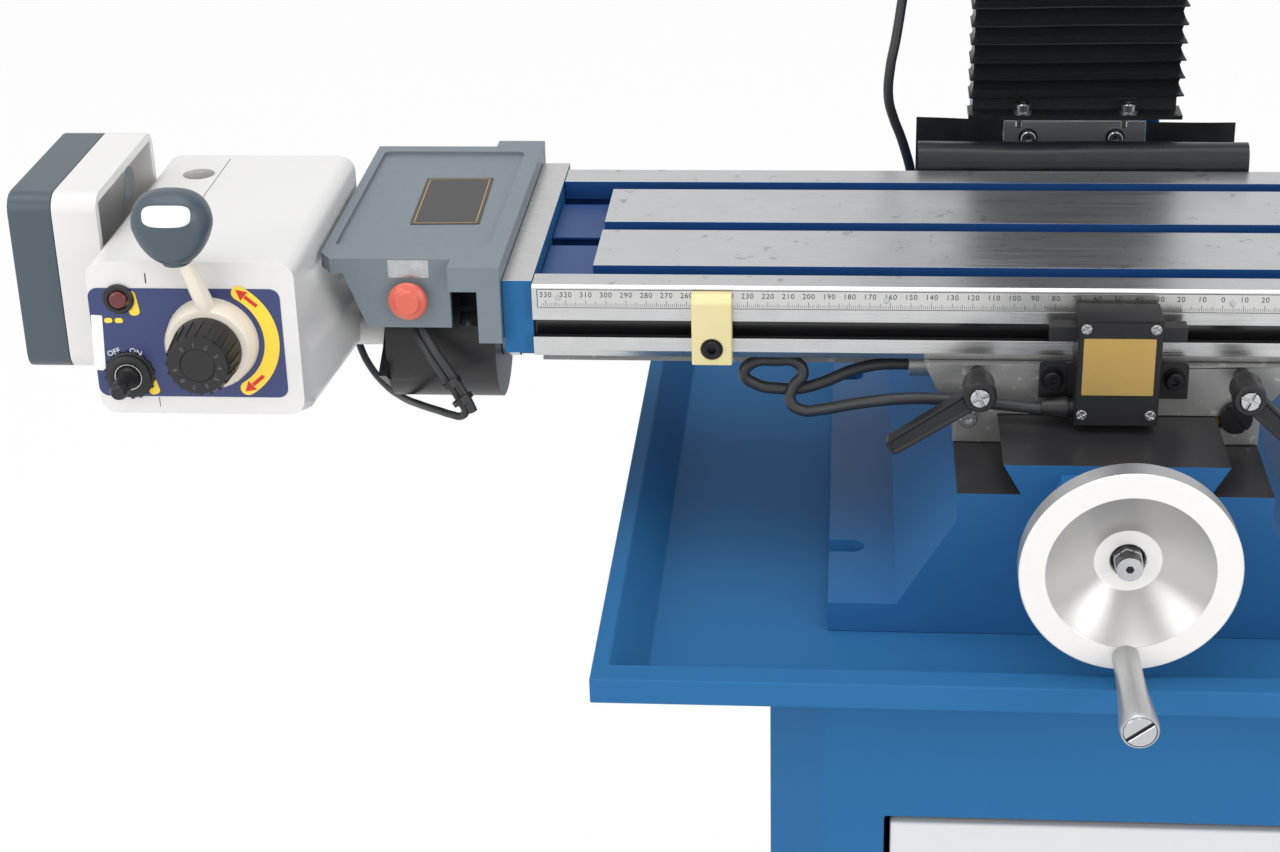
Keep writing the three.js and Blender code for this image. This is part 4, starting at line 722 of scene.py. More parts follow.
fixings = bmesh.new()
put(fixings, sector_disc(8, 4, 2.6, [(-52, 1.5)], 40), place((62.9, SADDLE_FRONT - 0.2, 876), "-y"), 0)
put(fixings, lathe([(0, 0), (5.6, 0), (5.6, 1.2), (0, 1.2)], 28), place((-67.9, SADDLE_FRONT - 0.1, 874.4), "-y"), 1)
put(fixings, socket_screw(4.3, 4.2, 2.2), place((-67.9, SADDLE_FRONT - 1.2, 874.4), "-y"), 1)
for x in (-34, 0, 34):
    put(fixings, lathe([(0, 0), (5, 0), (5, 1), (2, 1), (2, 4), (0, 4)], 24),
        place((90, SADDLE_FRONT + 60 + x, 891), "x", "z"), 1)
piece("saddle.screws", fixings, "saddle", [black_screw, screw_steel])

# %% Clamp levers
LOCK_X, LOCK_Z = 64.0, TABLE_BOTTOM - 4.2
for name, side in (("lock_left", -1), ("lock_right", 1)):
    x = side * LOCK_X
    slope = 214 if side < 0 else 316
    along = Vector((math.cos(math.radians(slope)), 0, math.sin(math.radians(slope))))
    arm = bmesh.new()
    grip = plate(52, 10.4, 6.6, 3, 4)
    bmesh.ops.translate(grip, vec=(26, 0, 0), verts=grip.verts)
    for vert in grip.verts:
        narrowed = 1 - 0.16 * vert.co.x / 52
        vert.co.y *= narrowed
    tops = [f for f in grip.faces if f.normal.z > 0.9]
    bmesh.ops.inset_region(grip, faces=tops, thickness=1.5, depth=0)
    bmesh.ops.inset_region(grip, faces=tops, thickness=0.5, depth=-0.7)
    put(arm, grip, place((x, -150.3, LOCK_Z), "-y", Vector((0, -1, 0)).cross(along)), 0)
    put(arm, lathe([(0, 0), (7.6, 0), (7.9, 2), (7.2, 9.6), (8.1, 10.4), (8.1, 17), (7.4, 18.4), (5.0, 18.4),
                    (5.0, 17.6), (0, 17.6)], 36), place((x, -141.0, LOCK_Z), "-y"), 0)
    put(arm, phillips(4.7, 2.0, 1.0), place((x, -158.4, LOCK_Z), "-y", "z", 20 * side), 1)
    made = piece(name + ".arm", arm, name, [black, screw_steel], soften=0.35, smooth=40)
    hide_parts("table_" + name)
    spring = bmesh.new()
    put(spring, coil_spring(3.45, 0.6, 12.4, 6.5), place((x, SADDLE_FRONT - 0.8, LOCK_Z), "-y"), 0)
    put(spring, lathe([(0, 0), (3, 0), (3, 32), (0, 32)], 20), place((x, SADDLE_FRONT + 18, LOCK_Z), "-y"), 1)
    piece(name + ".spring", spring, name, [black_screw, screw_steel], smooth=50)

# %% [markdown]
# The limit switch is a moulded box with a screwed lid, two ears with cap
# screws, and a metal plate that stays bare here. Its lead leaves the left side.

# %% Limit switch
carry_over("limit_switch_box", [black], 1.0, segments=3)
for plunger in ("limit_plunger_left", "limit_plunger_right"):
    carry_over(plunger, [black], 0.7)
box_front = edge_line("limit_switch_box", 1, 0)
switch = bmesh.new()
lid = plate(38.6, 53.4, 0.9, 1.2, 3)
put(switch, lid, place((2.3, box_front, 907.5), "-y"), 0)
put(switch, plate(34.2, 29.6, 0.35, 0.6, 3), place((2.0, box_front - 0.9, 911.4), "-y"), 1)
for x, z in ((-14.2, 931.2), (18.6, 931.2), (-14.4, 886.2), (18.4, 886.2)):
    put(switch, phillips(2.6, 1.3, 0.55), place((x, box_front - 0.8, z), "-y", "z", x), 2)
for x in (-27.6, 31.2):
    put(switch, plate(13, 17.4, 1.2, 2.4, 4), place((x, SADDLE_FRONT - 4.0, 898.2), "-y"), 0)
    put(switch, lathe([(0, 0), (5.6, 0), (5.6, 0.9), (0, 0.9)], 28), place((x, SADDLE_FRONT - 5.2, 898), "-y"), 3)
    put(switch, socket_screw(4.4, 4.0, 2.1), place((x, SADDLE_FRONT - 6.0, 898), "-y"), 3)
put(switch, lathe([(0, 0), (5.4, 0), (5.8, 2), (4.4, 9), (3.8, 13), (0, 13)], 28),
    place((-20.0, -139, 884.9), "-x", "z"), 0)
piece("limit_switch_box.fittings", switch, "saddle", [black, brass_plate, screw_steel, black_screw],
      soften=0.25, smooth=40)

# %% [markdown]
# Leads are curves: their length and thickness are real, and the route repeats
# the CAD model's own points, so the looks lie exactly where the solid lies.

# %% Free leads
LIMIT_ROUTE = [(-22.2, -139, 884.2), (-34, -138.5, 884), (-48, -136.5, 884.6), (-64, -135, 885.4), (-82, -133, 886),
               (-98, -131.5, 885.4), (-111.5, -130, 883.4), (-126.3, -125.5, 879), (-141, -121.5, 874.2),
               (-150, -119.5, 872.8), (-156, -117.6, 876.3), (-154.6, -115.6, 884.4), (-150, -114, 890.5),
               (-153, -113, 896), (-164, -113.4, 897.4), (-175, -114, 896.4), (-179.6, -114.4, 890.6),
               (-173.6, -113.8, 884.4), (-161.6, -113, 881.8), (-151, -112, 881.7), (-138, -110.5, 885.2),
               (-126, -109, 890.2), (-114, -107.8, 893), (-105, -107.5, 893.6), (-97.4, -107.5, 893.7)]
REAR_ROUTE = [(-97, 172, 1085.6), (-97, 172, 1066), (-96.5, 170, 1040), (-97, 163, 1018), (-99, 157, 1004),
              (-101.8, 151, 986.5), (-104.8, 148, 970), (-105.4, 148, 952), (-101.8, 150, 938), (-98.3, 151, 929),
              (-94.5, 153, 917), (-91.5, 156, 905), (-89.8, 160, 890), (-89.5, 164, 874), (-91, 167, 856),
              (-92, 168, 843), (-92, 168, 832.3)]


def lead_look(name, route, body, thick):
    """The curve of a lead that stands for its CAD node."""
    lead = cord_curve(name + ".look", route, thick, lead_grey, body)
    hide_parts(name)
    return lead


lead_look("limit_switch_lead", LIMIT_ROUTE, "saddle", 3.0)
lead_look("rear_lead", REAR_ROUTE, "frame", 2.9)

glands = bmesh.new()
put(glands, lathe([(0, 0), (7.5, 0), (7.5, 3), (6, 5), (4.2, 16), (3.6, 24), (0, 24)], 28),
    place(Vector(REAR_ROUTE[0]) + Vector((0, 0, 1)), "-z", "y"))
put(glands, lathe([(0, 0), (6.6, 0), (6.2, 4), (4.4, 10), (0, 10)], 28), place(REAR_ROUTE[-1], "z", "y"))
piece("rear_lead.glands", glands, "frame", [rubber], smooth=50)

# %% [markdown]
# ## The table
# The top is ground, so its scratches run along X and it mirrors the room
# softly. The T-slots and the end troughs are painted inside. The front groove
# is left black, between two milled lips.

# %% Table
table_low, table_high = corners("table")
TABLE_TOP = table_high.z
SLOTS = [-103, -40, 23]
TROUGH = 28
GROOVE = (TABLE_TOP - 18.6 - 9 - 2.7, TABLE_TOP - 18.6 + 2.7)


def table_face(face):
    centre = face.calc_center_median() / MM
    n = face.normal
    if n.z > 0.9 and centre.z > TABLE_TOP - 0.6:
        return 0
    in_trough = centre.x < table_low.x + TROUGH + 0.5 or centre.x > table_high.x - TROUGH - 0.5
    deep = TABLE_TOP - 20.5 < centre.z < TABLE_TOP - 0.15
    if deep and centre.y > table_low.y + 9 and centre.y < table_high.y - 2:
        if in_trough or any(abs(centre.y - slot) < 10.6 for slot in SLOTS):
            return 1 if abs(n.x) < 0.9 or in_trough else 2
    if centre.y < table_low.y + 10 and GROOVE[0] < centre.z < GROOVE[1] and n.y > -0.9:
        return 3
    if n.y < -0.5 and centre.y < table_low.y + 3:
        return 2
    if centre.y < table_low.y + 10 and GROOVE[0] < centre.z < GROOVE[1]:
        return 3
    return 4


carry_over("table", [ground, slot_blue, milled_edge, gloss_black, scraped], 0.45, segments=2, choose=table_face)

# %% [markdown]
# The scale is a riveted strip: a fine tick each millimetre, longer at five and
# ten, and a figure each ten millimetres that counts away from the middle.

# %% Scale strip
ZERO_X = (table_low.x + table_high.x) / 2
strip_low, strip_high = corners("table_scale")
carry_over("table_scale", [turned], 0.12)
figures = {digit: words(digit, 3.9, 0.05) for digit in "0123456789"}
wide = 2.15
marks = bmesh.new()
for step in range(-332, 333):
    tall = 3.2 if step % 10 == 0 else 2.5 if step % 5 == 0 else 1.7
    thin = 0.24 if step % 5 == 0 else 0.18
    tick = block((-thin / 2, 0, 0), (thin / 2, tall, 0.05))
    put(marks, tick, place((ZERO_X + step, strip_low.y, strip_low.z + 0.5), "-y"))
for tens in range(-33, 34):
    label = str(abs(tens) * 10)
    for order, digit in enumerate(label):
        offset = (order - (len(label) - 1) / 2) * wide
        put(marks, figures[digit].copy(), place((ZERO_X + tens * 10 + offset, strip_low.y, strip_high.z - 2.6), "-y"))
for shape in figures.values():
    shape.free()
piece("table_scale.marks", marks, "table", [black_print], smooth=30)
rivets = bmesh.new()
for x in (strip_low.x + 10, strip_low.x + 172, ZERO_X + 4.7, strip_high.x - 172, strip_high.x - 10):
    rivet = lathe([(0, 0), (1.7, 0), (1.6, 0.04), (1.1, 0.07), (0, 0.08)], 20)
    put(rivets, rivet, place((x, strip_low.y, strip_low.z + 5), "-y"))
piece("table_scale.rivets", rivets, "table", [screw_steel])

# %% End plates and travel stops
PLATE_LEFT = edge_line("feed_hood", 0, 1) + 0.3


def end_plate_face(face):
    centre = face.calc_center_median() / MM
    if face.normal.z > 0.9 and centre.z > TABLE_TOP - 0.6:
        return 1
    if centre.x < PLATE_LEFT - 0.1:
        return 2
    return 0


for end in ("left_end_plate", "right_end_plate"):
    carry_over(end, [blue_enamel, milled_edge, screw_steel], 0.7, choose=end_plate_face)
for stop in ("stop_left", "stop_right"):
    node = "table_" + stop
    carry_over(node, [yellow], 0.9, segments=3)
    low, high = corners(node)
    clamp = bmesh.new()
    middle = (low.x + high.x) / 2
    put(clamp, socket_screw(4.5, 4.6, 2.35), place((middle, low.y + 3.0, 911.5), "-y"), 0)
    washer = lathe([(4.6, 0.3), (5.5, 0.3), (5.5, 0.55), (4.6, 0.55)], 32)
    put(clamp, washer, place((middle, low.y + 0.2, 911.5), "-y"), 0)
    piece(node + ".screw", clamp, stop, [black_screw])

end_screws = bmesh.new()
right_face = edge_line("right_end_plate", 0, 1)
for y in (-104, 34):
    put(end_screws, socket_screw(6, 5, 3.2), place((right_face, y, 920), "x", "z"), 0)
    put(end_screws, socket_screw(6, 1.4, 3.2), place((right_face, y + 18, 920), "x", "z"), 0)
put(end_screws, lathe([(8.6, 0), (17, 0), (17, 2.2), (15, 3.2), (8.6, 3.2)], 48),
    place((right_face, -65, 893), "x", "z"), 1)
piece("right_end_plate.screws", end_screws, "table", [black_screw, screw_steel])

# %% [markdown]
# ## Motor feed
# The feed unit hangs on the table's left end: a moulded hood, a black drum, a
# white die-cast housing and a grey end cap. Its front carries a thin plate with
# the controls. Names and ratings are left off, so the plate, the strip and the
# patches stay bare, apart from ON and OFF, the arrows and the dial's figures.

# %% Housing, cover and cap
for node, material, soft in (("feed_gearbox", feed_white, 3.2), ("feed_side_cover", feed_white, 3.4),
                             ("feed_end_cap", cap_grey, 3.4)):
    carry_over(node, [material], soft, smooth=50, segments=4)
carry_over("feed_drum", [black], 0.8, segments=3)
carry_over("feed_motor", [oiled], 0.5)

# %% [markdown]
# A printed plate has to lie on the housing, not on a number that someone typed.
# lands_on() sends a ray at the CAD node, and gives the point where it lands and
# the way the surface faces there.

# %% Landing on a surface
from mathutils.bvhtree import BVHTree

TREES = {}


def lands_on(node, start_mm, towards):
    """Where a ray meets a CAD node, in millimetres, and the normal there."""
    if node not in TREES:
        mesh = frame["nodes"][node].data
        TREES[node] = BVHTree.FromPolygons([v.co for v in mesh.vertices], [tuple(p.vertices) for p in mesh.polygons])
    hit, normal, _, _ = TREES[node].ray_cast(Vector(start_mm) * MM, Vector(towards))
    return hit / MM, normal


FEED_FRONT = lands_on("feed_gearbox", (-450, -400, 900), (0, 1, 0))[0].y
BOSS = Vector((-438.2, 0, 924.0))
feed_low, feed_high = corners("feed_gearbox")
FEED_RIGHT, FEED_TOP = -395.2, feed_high.z
PLATE_THICK = 0.3

# %% Nameplate and its prints
STRIP_INNER, STRIP_OUTER, STRIP_HALF_DEG = 25.8, 33.2, 59
STRIP_MIDDLE = (STRIP_INNER + STRIP_OUTER) / 2
ARROW_DEG = 49
panel = bmesh.new()
put(panel, plate(95.4, 57.6, PLATE_THICK, 5, 6), place((-450.6, FEED_FRONT, 922.6), "-y"), 0)
print_y = FEED_FRONT - PLATE_THICK
strip = arc_strip(STRIP_INNER, STRIP_OUTER, -STRIP_HALF_DEG, STRIP_HALF_DEG, 0.12, 40)
put(panel, strip, place((BOSS.x, print_y, BOSS.z), "-y"), 1)


def on_strip(angle, y):
    """A point on the middle of the curved strip."""
    a = math.radians(angle)
    return Vector((BOSS.x + STRIP_MIDDLE * math.cos(a), y, BOSS.z + STRIP_MIDDLE * math.sin(a)))


for angle in (STRIP_HALF_DEG, -STRIP_HALF_DEG):
    put(panel, lathe([(0, 0), (3.7, 0), (3.7, 0.08), (0, 0.08)], 24), place(on_strip(angle, print_y), "-y"), 1)


def arrow(length, width):
    """A straight arrow that points to +X: a shaft and a three-sided head."""
    bm = block((-length / 2, -width * 0.17, 0), (length * 0.16, width * 0.17, 0.1))
    head = bmesh.new()
    bmesh.ops.create_circle(head, cap_ends=True, radius=width * 0.62, segments=3,
                            matrix=Matrix.Rotation(-math.pi / 2, 4, "Z"))
    put(bm, thicken(head, 0.1), Matrix.Translation((length / 2 - width * 0.34, 0, 0)))
    return bm


for sense in (1, -1):
    angle = ARROW_DEG * sense
    put(panel, arrow(11.5, 5.6), place(on_strip(angle, print_y - 0.13), "-y", "z", angle + 90 * sense), 2)
put(panel, plate(5.6, 29.5, 0.14, 0.5, 2), place((-495.8, print_y, 922.4), "-y", "z", -3), 3)
for x, z, w, h, lean in ((-476.4, 943.6, 5.4, 13.0, 8), (-471.9, 903.2, 5.6, 17.0, 14)):
    put(panel, plate(w, h, 0.12, 2.2, 5), place((x, print_y, z), "-y", "z", lean), 1)
for x in (-489.4, -484.1):
    put(panel, plate(4.0, 2.6, 0.12, 1.1, 4), place((x, print_y, 934.4), "-y", "z", 4), 1)
put(panel, words("OFF", 4.0, 0.1), place((-488.6, print_y, 917.4), "-y", "z", 20), 3)
put(panel, words("ON", 4.0, 0.1), place((-477.6, print_y, 917.6), "-y", "z", -20), 3)
piece("feed_gearbox.plate", panel, "table", [navy, yellow_print, red_print, white_print], smooth=30)

# %% Seams, screws, the filler hole and a painted dent shade
trim = bmesh.new()
put(trim, block((-0.22, -37.4, -0.03), (0.22, -32.4, 0.03)), place((-468.6, FEED_FRONT, FEED_TOP - 9 + 35.2), "-y"), 0)
for low, high in ((FEED_TOP - 11, FEED_TOP - 5.5), (888.0, 893.2)):
    put(trim, block((-0.2, low - 920, -0.03), (0.2, high - 920, 0.03)), place((-468.4, FEED_FRONT, 920), "-y"), 0)
put(trim, block((-0.2, -74, -0.03), (0.2, 74, 0.03)), place((-462, -77, FEED_TOP), "z", "y"), 0)
put(trim, lathe([(0, 0), (3.3, 0), (3.3, 1.0), (2.4, 1.0), (2.4, 0.3), (0, 0.3)], 24),
    place((FEED_RIGHT, -110.5, 888.6), "x", "z"), 0)
put(trim, lathe([(8.4, -2), (8.6, 0.05), (9.5, 0.12), (9.8, 0)], 36), place((-473.2, -28, FEED_TOP), "z", "y"), 1)
# The flat grey disc on the side cover's right face is painted shade: it stands in for the shading of a shallow dent
# there.
put(trim, lathe([(0, 0), (9.4, 0), (9.4, 0.1), (0, 0.1)], 36), place((-498.4, -70, 974), "x", "z"), 2)
piece("feed_gearbox.trim", trim, "table", [black, feed_white, cap_grey], smooth=40)

cap_low, cap_high = corners("feed_end_cap")
cap_trim = bmesh.new()
for y in (cap_low.y + 16, cap_high.y - 16):
    for z in (cap_low.z + 16, cap_high.z - 16):
        put(cap_trim, lathe([(0, 0), (5.6, 0), (5.6, 0.5), (4.6, 0.9), (0, 0.9)], 28),
            place((cap_low.x, y, z), "-x", "z"), 0)
        put(cap_trim, phillips(3.6, 1.6, 0.8), place((cap_low.x - 0.6, y, z), "-x", "z"), 1)
for row in range(7):
    rib = plate(52, 2.6, 0.7, 1.2, 4)
    put(cap_trim, rib, place((cap_low.x, (cap_low.y + cap_high.y) / 2, cap_low.z + 29 + row * 6), "-x", "z"), 0)
piece("feed_end_cap.screws", cap_trim, "table", [cap_grey, screw_steel], smooth=40)

# %% [markdown]
# The direction lever is a cream boss with a rod and an oval knob. The knob is a
# smooth moulding, so it is a subdivided shape: a sphere squashed and tapered.
# The plate let into it stays bare.

# %% Lever and knob
carry_over("feed_lever", [cream], 0.8, smooth=40, segments=3)
knob_low, knob_high = corners("feed_lever_knob")
knob_middle = (knob_low + knob_high) / 2
knob_half = (knob_high - knob_low) / 2
knob = bmesh.new()
bmesh.ops.create_uvsphere(knob, u_segments=36, v_segments=24, radius=1)
for vert in knob.verts:
    x, y, z = vert.co
    square = 1 / max(1e-6, (abs(x) ** 2.6 + abs(y) ** 2.6 + abs(z) ** 2.6)) ** (1 / 2.6)
    x, y, z = x * square, y * square, z * square
    taper = 0.62 + 0.38 * min(1.0, max(0.0, (z + 1) / 1.05)) ** 0.75
    vert.co = Vector((x * taper * knob_half.x, y * (0.72 + 0.28 * taper) * knob_half.y, z * knob_half.z))
bmesh.ops.transform(knob, matrix=Matrix.Translation(knob_middle), verts=knob.verts)
neck = lathe([(0, 0), (6.4, 0), (7.4, 3), (9, 7), (0, 9)], 28)
put(knob, neck, Matrix.Translation((knob_middle.x, knob_middle.y, knob_low.z)))
bmesh.ops.transform(knob, matrix=Matrix.Scale(MM, 4), verts=knob.verts)
knob_tree = BVHTree.FromBMesh(knob)
badge = bmesh.new()
bmesh.ops.create_grid(badge, x_segments=18, y_segments=10, size=0.5)
for vert in badge.verts:
    u, v = vert.co.x * 2, vert.co.y * 2
    bulge = (1 / max(1e-6, (abs(u) ** 3.4 + abs(v) ** 3.4)) ** (1 / 3.4)) * max(abs(u), abs(v)) if (u or v) else 1
    u, v = u * min(1.0, bulge), v * min(1.0, bulge)
    start = Vector((knob_middle.x + 0.6 + u * 11.6, -400, knob_middle.z + 9.2 + v * 4.9)) * MM
    hit = knob_tree.ray_cast(start, Vector((0, 1, 0)))[0]
    vert.co = hit + Vector((0, -0.05 * MM, 0))
badge_top = bmesh.ops.extrude_face_region(badge, geom=list(badge.faces))
bmesh.ops.translate(badge, vec=(0, -0.35 * MM, 0),
                    verts=[e for e in badge_top["geom"] if isinstance(e, bmesh.types.BMVert)])
bmesh.ops.recalc_face_normals(badge, faces=badge.faces)
lever_knob = piece("feed_lever_knob.look", knob, "feed_lever", [cap_grey], smooth=50)
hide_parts("feed_lever_knob")
piece("feed_lever_knob.badge", badge, "feed_lever", [white_print], smooth=50)

# %% [markdown]
# The speed knob is a fluted cone with a flat face. Its flutes are wedges that
# fade out towards the face, and its figures run round the rim.

# %% Speed knob
KNOB_BACK = FEED_FRONT - 11.6
KNOB_FACE = KNOB_BACK - 20
dial = bmesh.new()
put(dial, lathe([(0, 0), (9, 0), (17.2, 0.4), (17.3, 2.0), (16.4, 5), (15.5, 17.5), (14.6, 19.6), (12.6, 20.0),
                 (8.8, 20.0), (8.4, 19.6), (7.9, 20.0), (0, 20.0)], 60),
    place((BOSS.x, KNOB_BACK, BOSS.z), "-y"), 0)
for flute in range(20):
    wedge = block((-0.75, -0.7, 1.5), (0.75, 0.9, 18.2))
    for vert in wedge.verts:
        if vert.co.z > 10:
            vert.co.y -= 1.0
            vert.co.x *= 0.6
    outward = Matrix.Rotation(math.radians(flute * 18), 4, "Z") @ Matrix.Translation((0, 16.3, 0))
    put(dial, wedge, place((BOSS.x, KNOB_BACK, BOSS.z), "-y") @ outward, 0)
for number in range(10):
    angle = 128 - number * 33
    a = math.radians(angle)
    at = (BOSS.x + 10.9 * math.cos(a), KNOB_FACE, BOSS.z + 10.9 * math.sin(a))
    put(dial, words(str(number), 3.4, 0.12), place(at, "-y", "z", angle - 90), 1)
knob_print = finish("grey figures", srgb(92, 94, 98), 0.5, mottle=(90, 0.1), grain=(EVEN, 900), bump=0.02)
speed = piece("speed_knob.look", dial, "speed_knob", [black, knob_print], smooth=35)
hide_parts("speed_knob")

# %% Toggle, breaker and rapid button
TOGGLE = Vector((feed_low.x + 16.5, 0, FEED_TOP - 59.5))
collar = bmesh.new()
put(collar, lathe([(10.65, 0), (12.3, 0), (12.1, 1.3), (11.2, 1.7), (11.1, 3.5), (10.2, 4.3), (8.2, 4.5), (6.9, 4.1),
                   (6.9, 4.02), (10.65, 4.02), (10.65, 0)], 40), place((TOGGLE.x, FEED_FRONT, TOGGLE.z), "-y"), 0)
for tooth in range(18):
    nub = block((-0.7, 10.9, 0), (0.7, 12.9, 1.2))
    put(collar, nub, place((TOGGLE.x, FEED_FRONT, TOGGLE.z), "-y", "z", tooth * 20), 0)
piece("feed_gearbox.toggle_collar", collar, "table", [rubber], smooth=40)
carry_over("power_toggle", [black], 0.5, smooth=50, segments=3)

breaker = bmesh.new()
BREAKER = Vector((feed_low.x + 15.5, FEED_FRONT, FEED_TOP - 19))
put(breaker, lathe([(5.2, -0.3), (7.6, 0.3), (7.6, 1.6), (6.8, 2.3), (5.3, 2.3), (5.2, -0.3)], 36),
    place(BREAKER, "-y"), 0)
piece("feed_gearbox.breaker_ring", breaker, "table", [black], smooth=40)
dark_red = finish("dark red moulding", srgb(96, 34, 36), 0.3, mottle=(60, 0.05), grain=(EVEN, 600), bump=0.05, coat=0.3)
carry_over("breaker_button", [dark_red], 0.8, smooth=40, segments=3)
carry_over("rapid_button", [coral], 0.9, smooth=50, segments=4)

# %% [markdown]
# The hood is a textured moulding with a shallow tray in its top. A dark label
# with a gold border lies in the tray, and a metal foil strip above the button;
# both are bare.

# %% Hood and its labels
carry_over("feed_hood", [hammered], 1.3, smooth=40, segments=3)
tray_hit, _ = lands_on("feed_hood", (-338, -30, 1200), (0, 0, -1))
label = bmesh.new()
tag = Vector((-338.3, -22.8, tray_hit.z))
lean = Vector((-0.03, 1, 0))
put(label, plate(36.5, 72, 0.3, 1.2, 3), place(tag, "z", lean), 0)
for x0, x1, y0, y1 in ((-16.6, 16.6, 34.0, 34.6), (-16.6, 16.6, -34.6, -34.0), (-16.6, -16.0, -34.6, 34.6),
                       (16.0, 16.6, -34.6, 34.6)):
    put(label, block((x0, y0, 0.3), (x1, y1, 0.38)), place(tag, "z", lean), 1)
foil_hit, _ = lands_on("feed_hood", (-348, -400, 944), (0, 1, 0))
put(label, plate(20.5, 9.4, 0.2, 0.4, 2), place((-347.3, foil_hit.y, 945.3), "-y"), 2)
foil = finish("metal foil", srgb(186, 188, 190), 0.3, 0.8, mottle=(220, 0.5), grain=(EVEN, 420), bump=0.5,
              rough_span=0.12)
piece("feed_hood.labels", label, "table", [plate_black, gold_line, foil], smooth=30)

# %% [markdown]
# The rapid switch has two thin leads. They come out of the hood side by side,
# are tied twice, and go back along the drum's underside into the housing. The
# ties are small moulded straps with a square head.

# %% Rapid switch lead and ties
RAPID_ROUTE = [(-348, -98, 915), (-346, -109, 909), (-339.4, -117, 901), (-330.8, -121, 889), (-323, -123.5, 877),
               (-321, -124, 871.5), (-323.6, -122.8, 868.8), (-328.5, -120, 868.2), (-336.1, -112, 866.5),
               (-350.1, -92, 860.8), (-364.4, -66, 853.2), (-377.4, -46, 851.5), (-387.9, -32, 856),
               (-393.4, -25, 862.5), (-396.4, -21, 871), (-397, -20, 884.1)]
thin_lead = lead_look("rapid_switch_lead", RAPID_ROUTE, "table", 2.0)
twin = [(x + 3.4, y - 0.8, z + 2.6) for x, y, z in RAPID_ROUTE[:4]]
twin += [(-319.4, -124.4, 878.6), (-316.8, -124.8, 872.4)]
second_lead = cord_curve("rapid_switch_lead.second", twin, 2.4, lead_grey, "table")
ties = bmesh.new()
down = (Vector(RAPID_ROUTE[4]) - Vector(RAPID_ROUTE[3])).normalized()
for share, grow in ((0.25, 0.0), (0.95, 0.4)):
    middle = Vector(RAPID_ROUTE[3]).lerp(Vector(RAPID_ROUTE[4]), share) + Vector((1.5, -0.4, 1.0))
    inner, outer = 4.6 + grow, 5.3 + grow
    band = lathe([(inner, -1.3), (outer, -1.3), (outer, 1.3), (inner, 1.3), (inner, -1.3)], 24)
    put(ties, band, place(middle, down, "y"), 0)
    put(ties, block((3.8, -2.0, -2.0), (7.6, 2.0, 2.0)), place(middle, down, "-y", 62), 0)
lead_ties = piece("rapid_switch_lead.ties", ties, "table", [black], smooth=40)

# %% [markdown]
# ## Handwheels
# A turned face has fine rings round its axle, and they stretch a highlight
# across the rings. spun() asks for that: its tangent runs round the axle, found
# as the cross product of the axle's direction and the way out from its centre.

# %% Spun metal
def spun(name, color, roughness, metallic, stretch, centre_mm, axle, rings=0.15):
    material = finish(name, color, roughness, metallic, mottle=(150, 0.05))
    tree = material.node_tree
    shader = tree.nodes["Principled BSDF"]
    shader.inputs["Anisotropic"].default_value = stretch
    shader.inputs["Anisotropic Rotation"].default_value = 0.25
    geometry = tree.nodes.new("ShaderNodeTexCoord")
    away = tree.nodes.new("ShaderNodeVectorMath")
    away.operation = "SUBTRACT"
    away.inputs[1].default_value = Vector(centre_mm) * MM
    tree.links.new(geometry.outputs["Object"], away.inputs[0])
    around = tree.nodes.new("ShaderNodeVectorMath")
    around.operation = "CROSS_PRODUCT"
    around.inputs[0].default_value = axle
    tree.links.new(away.outputs["Vector"], around.inputs[1])
    tangent = tree.nodes.new("ShaderNodeVectorMath")
    tangent.operation = "NORMALIZE"
    tree.links.new(around.outputs["Vector"], tangent.inputs[0])
    tree.links.new(tangent.outputs["Vector"], shader.inputs["Tangent"])
    radius = tree.nodes.new("ShaderNodeVectorMath")
    radius.operation = "LENGTH"
    tree.links.new(around.outputs["Vector"], radius.inputs[0])
    ripple = tree.nodes.new("ShaderNodeTexNoise")
    ripple.noise_dimensions = "1D"
    ripple.inputs["Scale"].default_value = 2600
    tree.links.new(radius.outputs["Value"], ripple.inputs["W"])
    relief = tree.nodes.new("ShaderNodeBump")
    relief.inputs["Strength"].default_value = rings
    relief.inputs["Distance"].default_value = 0.1 * MM
    tree.links.new(ripple.outputs["Fac"], relief.inputs["Height"])
    tree.links.new(relief.outputs["Normal"], shader.inputs["Normal"])
    return material


Y_AXLE = (0, -240, 858.4)
X_AXLE = (446, -65, 893)
WHEEL_FACE = srgb(236, 234, 231)
y_face = spun("faced ring", WHEEL_FACE, 0.42, 0.45, 0.35, Y_AXLE, (0, 1, 0))
y_dish = spun("turned dish", srgb(204, 202, 200), 0.36, 0.96, 0.8, Y_AXLE, (0, 1, 0), 0.3)
x_face = spun("faced ring, table wheel", WHEEL_FACE, 0.42, 0.45, 0.35, X_AXLE, (1, 0, 0))
x_dish = spun("turned dish, table wheel", srgb(204, 202, 200), 0.36, 0.96, 0.8, X_AXLE, (1, 0, 0), 0.3)
satin = finish("satin aluminium", srgb(190, 191, 192), 0.4, 0.85, mottle=(140, 0.12), grain=(EVEN, 1300), bump=0.1)

# %% [markdown]
# One function turns a wheel and one a grip, so both axes get the same parts. A
# profile is a list of (radius, height) along the axle, from its back to its
# front, with small steps at each corner in place of a sharp edge.

# %% Wheel and grip shapes
RIM_PROFILE = [(40.5, 18), (49.2, 18), (50, 18.8), (50, 29.4)]
RING_PROFILE = [(50, 29.4), (49.4, 30), (38.2, 30)]
DISH_PROFILE = [(38.2, 30), (37.6, 29.6), (36.8, 28.6), (15.4, 17.2)]
HUB_PROFILE = [(15.4, 17.2), (14.6, 17), (8.6, 17), (8.1, 16.6), (8.0, 11), (5.6, 11), (5.6, 0), (17.4, 0), (18, 0.6),
               (18, 6), (22, 7), (40.5, 18)]


